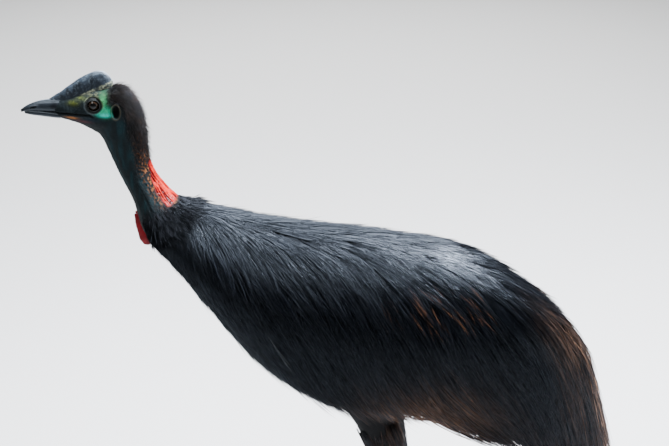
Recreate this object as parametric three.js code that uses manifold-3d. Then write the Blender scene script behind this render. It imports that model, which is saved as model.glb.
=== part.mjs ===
// A subadult southern cassowary, life size, standing with its neck lowered and bent.
// Millimetres, +Z up. The bird faces -X, its left side is towards -Y, and it stands on Z = 0.
import * as THREE from 'three';
import { mergeVertices } from 'three/addons/utils/BufferGeometryUtils.js';
import Module from 'manifold-3d';

const wasm = await Module();
wasm.setup();

// The gap between touching pieces, and how far a piece is grown to cut the one beside it
const GAP = 0.3;
const GROW = 0.4;

// Sections through the bird in its middle plane, from front to back. Each row is one slice:
// the x and z of its upper edge, the x and z of its lower edge, and half its width.
const HEAD = [
  [-474, 1061, -472, 1033, 9],
  [-451, 1067, -454, 1028, 15],
  [-431, 1073, -434, 1022, 23],
  [-410, 1079, -421, 1016, 29],
  [-389, 1084, -412, 1011, 32],
  [-369, 1087, -406, 1007, 32],
  [-349, 1079, -401, 1003, 32],
  [-334, 1058, -396, 996, 31],
];
const NECK = [
  [-334, 1058, -396, 996, 31],
  [-327, 1036, -392, 987, 30],
  [-323, 1009, -386, 972, 29],
  [-322, 981, -379, 954, 28],
  [-318, 957, -371, 934, 28.5],
  [-311, 936, -361, 912, 30],
  [-299, 916, -350, 886, 34],
  [-282, 896, -342, 858, 42],
  [-262, 881, -333, 829, 54],
];
const BODY = [
  [-262, 881, -333, 829, 54],
  [-234, 872, -311, 802, 70],
  [-196, 864, -283, 768, 88],
  [-148, 854, -246, 717, 106],
  [-87, 845, -197, 651, 122],
  [-17, 837, -132, 573, 133],
  [59, 829, -36, 508, 140],
  [136, 817, 69, 472, 145],
  [212, 803, 176, 466, 146],
  [284, 771, 269, 465, 138],
  [351, 725, 341, 470, 122],
  [409, 675, 392, 486, 98],
  [452, 613, 432, 512, 66],
  [472, 562, 458, 532, 30],
];
const BODY_SPLIT = 8;
const CASQUE = [
  [-484, 1064, -480, 1056, 3],
  [-464, 1076, -459, 1055, 6.5],
  [-447, 1089, -438, 1056, 9.5],
  [-426, 1103, -418, 1060, 12],
  [-406, 1111, -400, 1068, 13],
  [-391, 1113, -386, 1075, 12.5],
  [-380, 1105, -378, 1080, 9.5],
  [-374, 1094, -375, 1086, 5],
];
const UPPER_BILL = [
  [-533, 1045, -532, 1041, 1.5],
  [-523, 1052, -524, 1042.5, 4],
  [-508, 1058.5, -509, 1043, 6.5],
  [-492, 1062.5, -494, 1042.5, 8.5],
  [-477, 1064, -477, 1041.5, 10.5],
  [-462, 1065, -462, 1040.5, 12],
];
const LOWER_BILL = [
  [-527, 1041.6, -526, 1038.5, 2],
  [-514, 1042, -515, 1036, 4.5],
  [-494, 1041.4, -494, 1033.5, 7.5],
  [-477, 1040.4, -477, 1031.5, 9.5],
  [-464, 1039.4, -465, 1030.5, 11],
];

// How finely each form is meshed, and how square and how narrow at the top its slices are
const SKULL_FORM = { steps: 12, sides: 18, square: 2.1 };
const CASQUE_FORM = { steps: 10, sides: 12, square: 2.4, crown: 0.42 };
const UPPER_BILL_FORM = { steps: 7, sides: 10, square: 2.2, crown: 0.35 };
const LOWER_BILL_FORM = { steps: 6, sides: 10, square: 2.2 };
const NECK_FORM = { steps: 11, sides: 16 };
const LEAD_FORM = { from: 0, to: BODY_SPLIT, steps: 13, sides: 18 };
const REAR_FORM = { from: BODY_SPLIT, to: BODY.length - 1, steps: 8, sides: 18 };

// The head's details
const EYE = { x: -407, y: 17, z: 1061, radius: 11 };
const LID = { radius: 12.8, openWide: 9.4, openHigh: 8, openDeep: 11.52 };
const EAR = { x: -367, y: 29.5, z: 1048, wide: 6.5, high: 11, tube: 2, deep: 9, out: 2 };
const NOSTRIL = { x: -511, y: 5.6, z: 1049.5, long: 6, high: 1.9, deep: 2.6, lean: 0.25 };
const GAPE = { front: [-480, 1041.2], back: [-409, 1043], thick: 1.2, halfWide: 60 };
const WATTLE = { top: [-342, 862], tip: [-323, 805], wide: 10, thick: 4.6, topY: 7, tipY: 12 };
const WATTLE_STOPS = [0, 0.2, 0.5, 0.78, 0.94, 1];
const WATTLE_SHARES = [0.5, 0.75, 0.95, 1, 0.7, 0.2];
const NECK_FOLDS = { from: 4.3, to: 7.7, spread: [-50, -25, 0, 25, 50], radii: [1.5, 2.7, 3.15, 2.7, 1.5] };

// The coat: how far the plumage stands over the flesh at each slice of BODY, and the core's share of it
const COAT_DEPTH = [3, 8, 14, 20, 26, 30, 32, 34, 36, 40, 44, 44, 38, 16];
const CORE_SHARE = 0.5;

// Its locks: their places and spacing, their size and how much it varies, and their lengths at each slice
const LOCK = {
  first: 0.55, last: 12.85, along: 130, across: 80, frontScale: 0.5, rumpLess: 0.17, seed: 20,
  wide: 92, thick: 8, sink: 9, step: 14, fewestSteps: 4, leastRow: 5,
  turnVary: 0.25, lengthVary: 0.12, wideVary: 0.1, hemVary: 8,
};
const LOCK_LENGTH = [70, 90, 120, 150, 175, 190, 200, 210, 220, 240, 255, 260, 250, 240];
const LOCK_STOPS = [0, 0.34, 0.74, 1];
const LOCK_SHARES = [0.55, 1, 0.8, 0.14];
const LIE = {
  down: 1.45, downUnder: 0.15, downRump: 3.2, underFrom: 105, underTo: 155, rumpFrom: 9, rumpTo: 12,
};

// The lowest places that the plumage's tips reach in the middle, in x and z, and its rise towards the sides
const HEM = [
  [-333, 822], [-283, 762], [-246, 710], [-197, 644], [-132, 566], [-36, 501], [69, 466],
  [176, 460], [251, 438], [323, 394], [400, 345], [520, 332],
];
const HEM_RISE = 0.3;

// The wings are stumps with a few bare quills
const WING = {
  u: 3.2, angle: 98, under: 2, over: 3.2, way: [0.72, 0, -0.69], long: 88, high: 32, thick: 14,
  stops: [0, 0.15, 0.5, 0.85, 1], shares: [0.3, 0.8, 1, 0.8, 0.4],
};
const QUILL = {
  count: 4, from: 0.72, long: 185, shorter: 0.11, base: 2.6, tip: 1.1, rootSpread: 22.4, fan: 58,
  sag: [-0.1, 0, -0.35], stops: [0, 0.15, 0.4, 0.7, 1],
};

// Legs: y of the foot from the middle, and the joints of each side in x and z
const LEG_Y = 80;
const LEGS = {
  left: { side: -1, hip: [40, 560], mid: [98, 430], bare: [119, 345], hock: [128, 300], foot: [112, 24] },
  right: { side: 1, hip: [40, 560], mid: [98, 430], bare: [121, 345], hock: [132, 300], foot: [166, 24] },
};
const THIGH = {
  hip: [74, 50], hipIn: 24, mid: [32, 29], bare: [20, 18], steps: 4, sides: 10,
  locks: 5, lockWide: 40, lockThick: 5.6, lockTwist: 0.2, lockStops: [0.45, 0.62, 0.82, 0.985],
  lockHeights: [0, 3, 5, 6],
};
const SHANK = {
  sides: 10, flatten: 0.88, bareShare: 0.55, shinStops: [0.1, 0.24, 0.6, 0.85],
  radii: [16.5, 16.5, 21, 17.48, 13.5, 12.42, 13.94, 17],
};
const SHANK_SCUTE = {
  count: 7, first: 0.1, last: 0.9, down: 15, up: 11.7, rear: 15, girth: 13.5, ankleGrow: 2,
  spread: 0.95, deep: 2.4, proud: 1.7, edgeLess: 0.7, lip: 0.15,
};
const PAD = { long: 25, wide: 26, high: 25, z: 11.25 };
const TOES = {
  inner: { turn: 33, long: 74, wide: 12.5, claw: 84, clawWide: 8.5 },
  middle: { turn: 0, long: 128, wide: 14.5, claw: 34, clawWide: 8 },
  outer: { turn: -36, long: 92, wide: 12, claw: 28, clawWide: 7 },
};
const FULL_TOE_WIDE = 14.5;
const TOE = {
  stops: [0.08, 0.3, 0.48, 0.56, 0.74, 0.82, 0.93, 1],
  wides: [0.95, 1, 0.9, 1, 0.86, 0.95, 0.8, 0.62],
  highs: [22, 15.5, 13.2, 13.6, 12.2, 12.4, 11.4, 9.6],
  lift: 0.675, sides: 8,
};
const TOE_SCUTE = {
  apart: 24, first: 0.42, last: 0.92, topBack: 22.6, topFront: 17.5, fill: 0.24,
  wideBack: 0.7, wideFront: 0.5,
  drop: 2.6, deep: 5, lipFront: 0.9, lipBack: -0.6,
};
const CLAW = {
  stops: [0, 0.3, 0.65, 0.9, 1], shares: [1, 0.86, 0.55, 0.24, 0.06], sides: 6, flatten: 0.88,
  root: 2, high: 8.6, rise: 0.1, droop: 0.16, floor: 0.5,
};

const MATERIALS = {
  plumage: { color: 0x0c0d10, roughness: 0.42 },
  neck_skin: { color: 0x16262c, roughness: 0.55 },
  head_skin: { color: 0x1d3f3c, roughness: 0.5 },
  red_skin: { color: 0x8f1a12, roughness: 0.35 },
  casque_horn: { color: 0x3a4046, roughness: 0.4 },
  bill_horn: { color: 0x17191c, roughness: 0.35 },
  eye: { color: 0x0d0806, roughness: 0.08 },
  leg_scale: { color: 0x4b4a44, roughness: 0.6 },
  claw_horn: { color: 0x141312, roughness: 0.35 },
  quill: { color: 0x0a0a0b, roughness: 0.3 },
};

const { lerp, clamp, smoothstep, degToRad } = THREE.MathUtils;
const UP = new THREE.Vector3(0, 0, 1);
const DOWN = new THREE.Vector3(0, 0, -1);
const SIDEWAYS = new THREE.Vector3(0, 1, 0);

// A seeded stream of numbers from 0 to 1.
function makeRandom(seed) {
  let state = seed >>> 0;
  return () => {
    state = (Math.imul(state, 1664525) + 1013904223) >>> 0;
    return state / 4294967296;
  };
}

// A closed geometry through rings of points that have the same count, each end ring fanned shut.
function loft(rings) {
  const count = rings[0].length;
  const points = rings.flat();
  const index = [];
  for (let r = 0; r + 1 < rings.length; r++) {
    for (let k = 0; k < count; k++) {
      const a = r * count + k;
      const b = r * count + ((k + 1) % count);
      index.push(a, b, b + count, a, b + count, a + count);
    }
  }
  for (const [ring, isFirst] of [[0, true], [rings.length - 1, false]]) {
    const middle = rings[ring].reduce((sum, p) => sum.add(p), new THREE.Vector3()).divideScalar(count);
    const centre = points.push(middle) - 1;
    for (let k = 0; k < count; k++) {
      const a = ring * count + k;
      const b = ring * count + ((k + 1) % count);
      index.push(...(isFirst ? [a, centre, b] : [a, b, centre]));
    }
  }
  const geometry = new THREE.BufferGeometry().setFromPoints(points);
  geometry.setIndex(index);
  return geometry;
}

function signedVolume(geometry) {
  const { position } = geometry.attributes;
  const { index } = geometry;
  const a = new THREE.Vector3();
  const b = new THREE.Vector3();
  const c = new THREE.Vector3();
  let sum = 0;
  for (let i = 0; i < index.count; i += 3) {
    a.fromBufferAttribute(position, index.getX(i));
    b.fromBufferAttribute(position, index.getX(i + 1));
    c.fromBufferAttribute(position, index.getX(i + 2));
    sum += a.dot(b.cross(c));
  }
  return sum / 6;
}

// A geometry as a solid, with its faces turned outwards.
function solid(geometry) {
  geometry.deleteAttribute('normal');
  geometry.deleteAttribute('uv');
  const merged = mergeVertices(geometry, 1e-4);
  const triVerts = new Uint32Array(merged.index.array);
  if (signedVolume(merged) < 0) {
    for (let i = 0; i < triVerts.length; i += 3) {
      [triVerts[i + 1], triVerts[i + 2]] = [triVerts[i + 2], triVerts[i + 1]];
    }
  }
  const vertProperties = new Float32Array(merged.attributes.position.array);
  return new wasm.Manifold(new wasm.Mesh({ numProp: 3, vertProperties, triVerts }));
}

// The largest closed piece of a solid, so that no loose scrap stays.
function largest(made) {
  return made.decompose().reduce((best, piece) => (piece.volume() > best.volume() ? piece : best));
}

const join = (pieces) => pieces.reduce((sum, piece) => sum.add(piece));

// A list's value at a place counted in its entries.
function listAt(list, u) {
  const i = clamp(Math.floor(u), 0, list.length - 2);
  return lerp(list[i], list[i + 1], clamp(u - i, 0, 1));
}

// A slice table as two smooth curves: the upper edge, whose y is the half width, and the lower edge.
function curvesOf(table) {
  const upper = table.map(([x, z, , , wide]) => new THREE.Vector3(x, wide, z));
  const lower = table.map(([, , x, z]) => new THREE.Vector3(x, 0, z));
  return {
    last: table.length - 1,
    upper: new THREE.CatmullRomCurve3(upper, false, 'catmullrom', 0.5),
    lower: new THREE.CatmullRomCurve3(lower, false, 'catmullrom', 0.5),
  };
}

// One slice: its centre, its upward and backward directions, its half height and its half width.
function sliceAt(curves, u) {
  const t = clamp(u / curves.last, 0, 1);
  const top = curves.upper.getPoint(t);
  const low = curves.lower.getPoint(t);
  const wide = top.y;
  top.y = 0;
  const up = top.clone().sub(low);
  const high = up.length() / 2;
  up.normalize();
  const back = new THREE.Vector3(up.z, 0, -up.x);
  return { centre: top.add(low).multiplyScalar(0.5), up, back, high, wide };
}

// A point of the slice's edge. The angle is 0 at the top and 90 degrees on the bird's right.
function edgePoint(slice, angle, grow = 0, square = 2, crown = 0) {
  const c = Math.cos(angle);
  const s = Math.sin(angle);
  const q = Math.sign(c) * Math.abs(c) ** (2 / square);
  const r = Math.sign(s) * Math.abs(s) ** (2 / square);
  const narrow = 1 - crown * (q + 1) / 2;
  return slice.centre.clone()
    .addScaledVector(slice.up, (slice.high + grow) * q)
    .setY((slice.wide * narrow + grow) * r);
}

// The solid between two slices of a table.
function tableLoft(table, form, grow, inset = () => 0) {
  const { from = 0, to = table.length - 1, steps, sides, square, crown } = form;
  const curves = curvesOf(table);
  const rings = [];
  for (let i = 0; i <= steps; i++) {
    const u = lerp(from, to, i / steps);
    const slice = sliceAt(curves, u);
    const end = (i === steps) - (i === 0);
    slice.centre.addScaledVector(slice.back, end * (grow - GAP / 2));
    rings.push(Array.from({ length: sides }, (_, k) => {
      const angle = 2 * Math.PI * (k + 0.5) / sides;
      return edgePoint(slice, angle, grow - inset(u), square, crown);
    }));
  }
  return solid(loft(rings));
}

// A tapered form along a path, oval across. Each step has a place, two directions and its half sizes.
function blade(path, sides) {
  return solid(loft(path.map(({ at, across, face, wide, thick }) =>
    Array.from({ length: sides }, (_, k) => {
      const angle = 2 * Math.PI * k / sides;
      return at.clone()
        .addScaledVector(across, wide * Math.cos(angle))
        .addScaledVector(face, thick * Math.sin(angle));
    }))));
}

// A round tapered rod along points with one radius at each.
function rod(points, radii, sides, flatten = 1) {
  const path = points.map((at, i) => {
    const before = points[Math.max(i - 1, 0)];
    const after = points[Math.min(i + 1, points.length - 1)];
    const along = after.clone().sub(before).normalize();
    const across = SIDEWAYS.clone().cross(along).normalize();
    const face = along.clone().cross(across).normalize();
    return { at, across, face, wide: radii[i], thick: radii[i] * flatten };
  });
  return blade(path, sides);
}

function sphere(centre, sizes, columns, rows) {
  const geometry = new THREE.SphereGeometry(1, columns, rows);
  geometry.scale(...sizes);
  geometry.translate(...centre);
  return solid(geometry);
}

// The body's slices
const bodyCurves = curvesOf(BODY);
const coreInset = (u) => listAt(COAT_DEPTH, u) * CORE_SHARE;

// The slice of the body that a point lies on.
function sliceOf(point) {
  let low = 0;
  let high = bodyCurves.last;
  for (let i = 0; i < 16; i++) {
    const u = (low + high) / 2;
    const slice = sliceAt(bodyCurves, u);
    if (point.clone().sub(slice.centre).dot(slice.back) > 0) low = u;
    else high = u;
  }
  return (low + high) / 2;
}

// How far a point is from the slice's middle, as a share of the way to the outline less an inset.
function shareOut(point, slice, inset) {
  const flat = point.clone().sub(slice.centre);
  return Math.hypot(flat.dot(slice.up) / (slice.high - inset), flat.y / (slice.wide - inset));
}

// A point moved in or out along its slice until it lies the given height over the plumage's outline.
function toOutline(point, height) {
  const slice = sliceAt(bodyCurves, sliceOf(point));
  const share = shareOut(point, slice, -height);
  return point.sub(slice.centre).divideScalar(share).add(slice.centre);
}

// The direction straight out of the body's surface, at a slice and an angle.
function faceAt(u, angle) {
  const small = 0.05;
  const surface = (place, turn) => edgePoint(sliceAt(bodyCurves, place), turn, -coreInset(place));
  const round = surface(u, angle + small).sub(surface(u, angle - small));
  const along = surface(u + small, angle).sub(surface(u - small, angle));
  return along.cross(round).normalize();
}

// The lie of the plumage: backwards above and below, steeper on the flank, hanging at the rump.
function lieAt(slice, u, angle) {
  const under = smoothstep(Math.abs(angle), degToRad(LIE.underFrom), degToRad(LIE.underTo));
  const rump = smoothstep(u, LIE.rumpFrom, LIE.rumpTo);
  const fall = lerp(lerp(LIE.down, LIE.downUnder, under), LIE.downRump, rump);
  return slice.back.clone().addScaledVector(DOWN, fall).normalize();
}

function angleOf(point, slice) {
  const flat = point.clone().sub(slice.centre);
  return Math.atan2(flat.y / slice.wide, flat.dot(slice.up) / slice.high);
}

function hemUnder(point) {
  const next = Math.max(1, HEM.findIndex(([x]) => x > point.x));
  const [x0, z0] = HEM[next - 1];
  const [x1, z1] = HEM[next];
  return lerp(z0, z1, (point.x - x0) / (x1 - x0)) + HEM_RISE * Math.abs(point.y);
}

// The line of a lock over the body, from its root in the core until its length or the hem stops it.
function lockLine(u, angle, length, hem) {
  const root = sliceAt(bodyCurves, u);
  const at = edgePoint(root, angle, -coreInset(u));
  let face = faceAt(u, angle);
  let along = lieAt(root, u, angle);
  const line = [{ at: at.clone(), face, along }];
  for (let walked = LOCK.step; walked <= length; walked += LOCK.step) {
    at.addScaledVector(along, LOCK.step);
    const place = sliceOf(at);
    const slice = sliceAt(bodyCurves, place);
    const high = walked / length * (coreInset(place) - LOCK.thick / 2);
    const share = shareOut(at, slice, coreInset(place) - high);
    if (share < 1 && place < bodyCurves.last - 0.02) {
      at.sub(slice.centre).divideScalar(share).add(slice.centre);
      face = faceAt(place, angleOf(at, slice));
    }
    if (at.z < hemUnder(at) + hem) break;
    along = lieAt(slice, place, angleOf(at, slice));
    line.push({ at: at.clone(), face, along });
  }
  return line;
}

// A lock's steps: widest before its half and tapered to the tip.
function lockPath(line, wide, thick) {
  return LOCK_STOPS.map((stop, i) => {
    const { at, face, along } = line[Math.round(stop * (line.length - 1))];
    const flat = face.clone().addScaledVector(along, -face.dot(along)).normalize();
    return {
      at: at.clone().addScaledVector(face, i === 0 ? -LOCK.sink : 0),
      across: along.clone().cross(flat).normalize(),
      face: flat,
      wide: wide / 2 * LOCK_SHARES[i],
      thick: lerp(0.35, 1, LOCK_SHARES[i]) * thick,
      along,
    };
  });
}

// The solid of a lock, flat underneath and ridged along its middle.
// A grown one, for cutting its neighbours, has blunt edges that stay clear all round.
function ridged(path, grow) {
  return solid(loft(path.map(({ at, across, face, along, wide, thick }, i) => {
    const end = at.clone().addScaledVector(along, i === path.length - 1 ? grow : 0);
    const place = (sideways, out) => end.clone().addScaledVector(across, sideways).addScaledVector(face, out);
    const top = place(0, thick + grow);
    if (grow === 0) return [place(wide, 0), top, place(-wide, 0)];
    const edge = wide + grow;
    return [place(edge, -grow), place(edge, grow), top, place(-edge, grow), place(-edge, -grow)];
  })));
}

// All locks of the body, in staggered rows from the neck's base to the rump.
function bodyLocks() {
  const random = makeRandom(LOCK.seed);
  const vary = (most) => most * (2 * random() - 1);
  const locks = [];
  let row = 0;
  let u = LOCK.first;
  while (u < LOCK.last) {
    const slice = sliceAt(bodyCurves, u);
    const scale = lerp(LOCK.frontScale, 1, smoothstep(u, 0, 4.5)) - LOCK.rumpLess * smoothstep(u, 8, 10);
    const girth = Math.PI * (slice.high + slice.wide - 2 * coreInset(u));
    const count = Math.max(LOCK.leastRow, Math.round(girth / (LOCK.across * scale)));
    for (let k = 0; k < count; k++) {
      const turn = (k + (row % 2) / 2 + vary(LOCK.turnVary / 2)) / count;
      const angle = 2 * Math.PI * (turn - Math.floor(turn + 0.5));
      const length = listAt(LOCK_LENGTH, u) * (1 + vary(LOCK.lengthVary));
      const line = lockLine(u, angle, length, vary(LOCK.hemVary));
      const wide = LOCK.wide * scale * (1 + vary(LOCK.wideVary));
      const thick = LOCK.thick * lerp(0.6, 1, scale);
      if (line.length > LOCK.fewestSteps) locks.push({ u, line, wide, thick });
    }
    const small = 0.1;
    const ahead = sliceAt(bodyCurves, u + small);
    const moved = [0, Math.PI].map((turn) => edgePoint(ahead, turn).distanceTo(edgePoint(slice, turn)));
    u += small * LOCK.along * scale / Math.max(...moved);
    row += 1;
  }
  return locks;
}

// Head: skull and cheeks with lids, ear hollows and the line of the mouth
function gapeCut() {
  return solid(loft([GAPE.front, GAPE.back].map(([x, z]) => [
    new THREE.Vector3(x, -GAPE.halfWide, z - GAPE.thick / 2),
    new THREE.Vector3(x, GAPE.halfWide, z - GAPE.thick / 2),
    new THREE.Vector3(x, GAPE.halfWide, z + GAPE.thick / 2),
    new THREE.Vector3(x, -GAPE.halfWide, z + GAPE.thick / 2),
  ])));
}

function earRing(side, grow) {
  const radius = 4;
  const geometry = new THREE.TorusGeometry(radius, 1, 4, 14);
  const { position } = geometry.attributes;
  for (let i = 0; i < position.count; i++) {
    const angle = Math.atan2(position.getY(i), position.getX(i));
    const out = (Math.hypot(position.getX(i), position.getY(i)) - radius) * (EAR.tube + grow);
    position.setXYZ(
      i,
      EAR.x + (EAR.wide + out) * Math.cos(angle),
      side * EAR.y + position.getZ(i) * (EAR.tube + grow),
      EAR.z + (EAR.high + out) * Math.sin(angle),
    );
  }
  return solid(geometry);
}

function earHollow(side) {
  return sphere([EAR.x, side * (EAR.y + EAR.out), EAR.z], [EAR.wide, EAR.deep, EAR.high], 10, 6);
}

function eyeBall(side, grow) {
  return sphere([EYE.x, side * EYE.y, EYE.z], Array(3).fill(EYE.radius + grow), 12, 7);
}

function lids(side) {
  return sphere([EYE.x, side * EYE.y, EYE.z], Array(3).fill(LID.radius), 12, 8);
}

function lidOpening(side) {
  const sizes = [LID.openWide, LID.openDeep, LID.openHigh];
  return sphere([EYE.x, side * (EYE.y + LID.radius), EYE.z], sizes, 12, 6);
}

const skull = (grow) => tableLoft(HEAD, SKULL_FORM, grow);
const casque = (grow) => tableLoft(CASQUE, CASQUE_FORM, grow);
const upperBill = (grow) => tableLoft(UPPER_BILL, UPPER_BILL_FORM, grow);
const lowerBill = (grow) => tableLoft(LOWER_BILL, LOWER_BILL_FORM, grow);
const neckCore = (grow) => tableLoft(NECK, NECK_FORM, grow);

function head() {
  const joined = join([skull(0), lids(-1), lids(1)]);
  const cuts = [-1, 1].flatMap((side) => [
    lidOpening(side), eyeBall(side, GROW), earHollow(side), earRing(side, GROW),
  ]);
  return [...cuts, gapeCut()].reduce((made, cut) => made.subtract(cut), joined);
}

function nostril(side) {
  const geometry = new THREE.SphereGeometry(1, 8, 4);
  geometry.scale(NOSTRIL.long, NOSTRIL.deep, NOSTRIL.high);
  geometry.rotateY(NOSTRIL.lean);
  geometry.translate(NOSTRIL.x, side * NOSTRIL.y, NOSTRIL.z);
  return solid(geometry);
}

// A lengthwise fold of red skin low on the neck's back
function neckFold(degrees) {
  const curves = curvesOf(NECK);
  const { from, to, radii } = NECK_FOLDS;
  const points = radii.map((_, i) => {
    const u = lerp(from, to, i / (radii.length - 1));
    return edgePoint(sliceAt(curves, u), degToRad(degrees));
  });
  return rod(points, radii, 5);
}

function wattle(side) {
  const start = new THREE.Vector3(WATTLE.top[0], side * WATTLE.topY, WATTLE.top[1]);
  const end = new THREE.Vector3(WATTLE.tip[0], side * WATTLE.tipY, WATTLE.tip[1]);
  const across = end.clone().sub(start).cross(SIDEWAYS).normalize();
  return blade(WATTLE_STOPS.map((t, i) => ({
    at: start.clone().lerp(end, t),
    across,
    face: SIDEWAYS,
    wide: WATTLE.wide * WATTLE_SHARES[i],
    thick: WATTLE.thick * WATTLE_SHARES[i],
  })), 8);
}

// The wing's arm and its bare quills lie along the flank.
function wing(side, grow) {
  const root = edgePoint(sliceAt(bodyCurves, WING.u), side * degToRad(WING.angle));
  const way = new THREE.Vector3(...WING.way).normalize();
  const face = new THREE.Vector3(0, side, 0);
  const across = way.clone().cross(face).normalize();
  const arm = blade(WING.stops.map((t, i) => ({
    at: toOutline(root.clone().addScaledVector(way, WING.long * t), -WING.under),
    across,
    face,
    wide: WING.high / 2 * WING.shares[i] + grow,
    thick: WING.thick / 2 * WING.shares[i] + grow,
  })), 8);
  const quills = Array.from({ length: QUILL.count }, (_, k) => {
    const spread = (k - (QUILL.count - 1) / 2) / QUILL.count;
    const length = QUILL.long * (1 - QUILL.shorter * k);
    const points = QUILL.stops.map((t) => {
      const point = root.clone()
        .addScaledVector(way, WING.long * QUILL.from + length * t)
        .addScaledVector(new THREE.Vector3(...QUILL.sag), length * t * t)
        .addScaledVector(across, (QUILL.rootSpread - QUILL.fan * t) * spread);
      return toOutline(point, lerp(-WING.under, WING.over, smoothstep(t, 0, 0.3)));
    });
    return rod(points, QUILL.stops.map((t) => lerp(QUILL.base, QUILL.tip, t) + grow), 3);
  });
  return join([arm, ...quills]);
}

// Feathered part of a leg, down to the bare joint
function legPoints(leg, names) {
  return names.map((name) => {
    const y = LEG_Y - (name === 'hip' ? THIGH.hipIn : 0);
    return new THREE.Vector3(leg[name][0], leg.side * y, leg[name][1]);
  });
}

// A function of a place along the thigh, an angle round it and a height over it.
function thighSurface(leg) {
  const sizes = [THIGH.hip, THIGH.mid, THIGH.bare].map(([long, wide]) => new THREE.Vector3(long, wide, 0));
  const curve = new THREE.CatmullRomCurve3(legPoints(leg, ['hip', 'mid', 'bare']));
  const sizeCurve = new THREE.CatmullRomCurve3(sizes);
  return (t, angle, height) => {
    const along = curve.getTangent(t);
    const across = SIDEWAYS.clone().cross(along).normalize();
    const size = sizeCurve.getPoint(t);
    const at = curve.getPoint(t)
      .addScaledVector(across, (size.x + height) * Math.cos(angle))
      .addScaledVector(SIDEWAYS, (size.y + height) * Math.sin(angle));
    const face = across.multiplyScalar(Math.cos(angle)).addScaledVector(SIDEWAYS, Math.sin(angle));
    return { at, face: face.normalize(), along };
  };
}

function thigh(leg) {
  const surface = thighSurface(leg);
  const ringAt = (t) =>
    Array.from({ length: THIGH.sides }, (_, k) => surface(t, 2 * Math.PI * k / THIGH.sides, 0).at);
  const rings = Array.from({ length: THIGH.steps + 1 }, (_, i) => ringAt(i / THIGH.steps));
  const pieces = [solid(loft(rings))];
  for (let k = 0; k < THIGH.locks; k++) {
    const angle = 2 * Math.PI * (k + 0.5) / THIGH.locks;
    const line = THIGH.lockStops.map((t, i) =>
      surface(t, angle + THIGH.lockTwist * t * leg.side, THIGH.lockHeights[i]));
    pieces.push(ridged(lockPath(line, THIGH.lockWide, THIGH.lockThick), 0));
  }
  return join(pieces);
}

// Bare hock, shank and the pad under it
function shank(leg, grow) {
  const [bare, hock, foot] = legPoints(leg, ['bare', 'hock', 'foot']);
  const points = [
    bare.clone().addScaledVector(hock.clone().sub(bare).normalize(), GAP - grow),
    bare.clone().lerp(hock, SHANK.bareShare),
    hock,
    ...SHANK.shinStops.map((t) => hock.clone().lerp(foot, t)),
    foot,
  ];
  return rod(points, SHANK.radii.map((radius) => radius + grow), SHANK.sides, SHANK.flatten);
}

function pad(leg, grow) {
  const [x] = leg.foot;
  return sphere([x, leg.side * LEG_Y, PAD.z], [PAD.long + grow, PAD.wide + grow, PAD.high + grow], 12, 8);
}

function shankScute(leg, k) {
  const [hock, foot] = legPoints(leg, ['hock', 'foot']);
  const { first, last, count, spread, deep, proud, edgeLess, lip } = SHANK_SCUTE;
  const t = lerp(first, last, (k + 0.5) / count);
  const along = foot.clone().sub(hock).normalize();
  const at = hock.clone().lerp(foot, t);
  const front = SIDEWAYS.clone().cross(along).normalize();
  const girth = SHANK_SCUTE.girth * lerp(1, 0.95, t) + smoothstep(t, 0.7, 1) * SHANK_SCUTE.ankleGrow;
  return solid(loft([-1, 0, 1].map((s) => {
    const out = front.clone().multiplyScalar(Math.cos(s * spread))
      .addScaledVector(SIDEWAYS, Math.sin(s * spread) * spread);
    const stand = proud - edgeLess * Math.abs(s);
    const place = (radius, length) => at.clone().addScaledVector(out, radius).addScaledVector(along, length);
    return [
      place(girth - deep, -SHANK_SCUTE.down),
      place(girth + stand * lip, -SHANK_SCUTE.down),
      place(girth + stand, SHANK_SCUTE.up),
      place(girth - deep, SHANK_SCUTE.rear),
    ];
  })));
}

// Toes: pads with a flat sole, scutes on top, a claw at the end
function toeWay(turn, leg) {
  const angle = degToRad(turn) * -leg.side;
  return new THREE.Vector3(-Math.cos(angle), Math.sin(angle), 0);
}

const toeScale = (shape) => Math.sqrt(shape.wide / FULL_TOE_WIDE);

function toe(shape, leg) {
  const [foot] = legPoints(leg, ['foot']);
  const way = toeWay(shape.turn, leg);
  const across = UP.clone().cross(way).normalize();
  return blade(TOE.stops.map((t, i) => {
    const thick = TOE.highs[i] * toeScale(shape);
    return {
      at: foot.clone().addScaledVector(way, shape.long * t).setZ(thick * TOE.lift),
      across,
      face: UP,
      wide: shape.wide * TOE.wides[i],
      thick,
    };
  }), TOE.sides);
}

function toeScute(shape, leg, k, count) {
  const [foot] = legPoints(leg, ['foot']);
  const way = toeWay(shape.turn, leg);
  const across = UP.clone().cross(way).normalize();
  const t = lerp(TOE_SCUTE.first, TOE_SCUTE.last, (k + 0.5) / count);
  const half = shape.long * TOE_SCUTE.fill / count;
  const top = lerp(TOE_SCUTE.topBack, TOE_SCUTE.topFront, smoothstep(t, 0.3, 1)) * toeScale(shape);
  const at = foot.clone().addScaledVector(way, shape.long * t);
  const wide = shape.wide * lerp(TOE_SCUTE.wideBack, TOE_SCUTE.wideFront, t);
  return solid(loft([-1, 0, 1].map((s) => {
    const z = top - TOE_SCUTE.drop * Math.abs(s);
    const place = (forward, rise) =>
      at.clone().addScaledVector(across, wide * s).addScaledVector(way, forward).setZ(z + rise);
    return [
      place(-half, -TOE_SCUTE.deep),
      place(half, -TOE_SCUTE.deep),
      place(half, TOE_SCUTE.lipFront),
      place(-half, TOE_SCUTE.lipBack),
    ];
  })));
}

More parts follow.
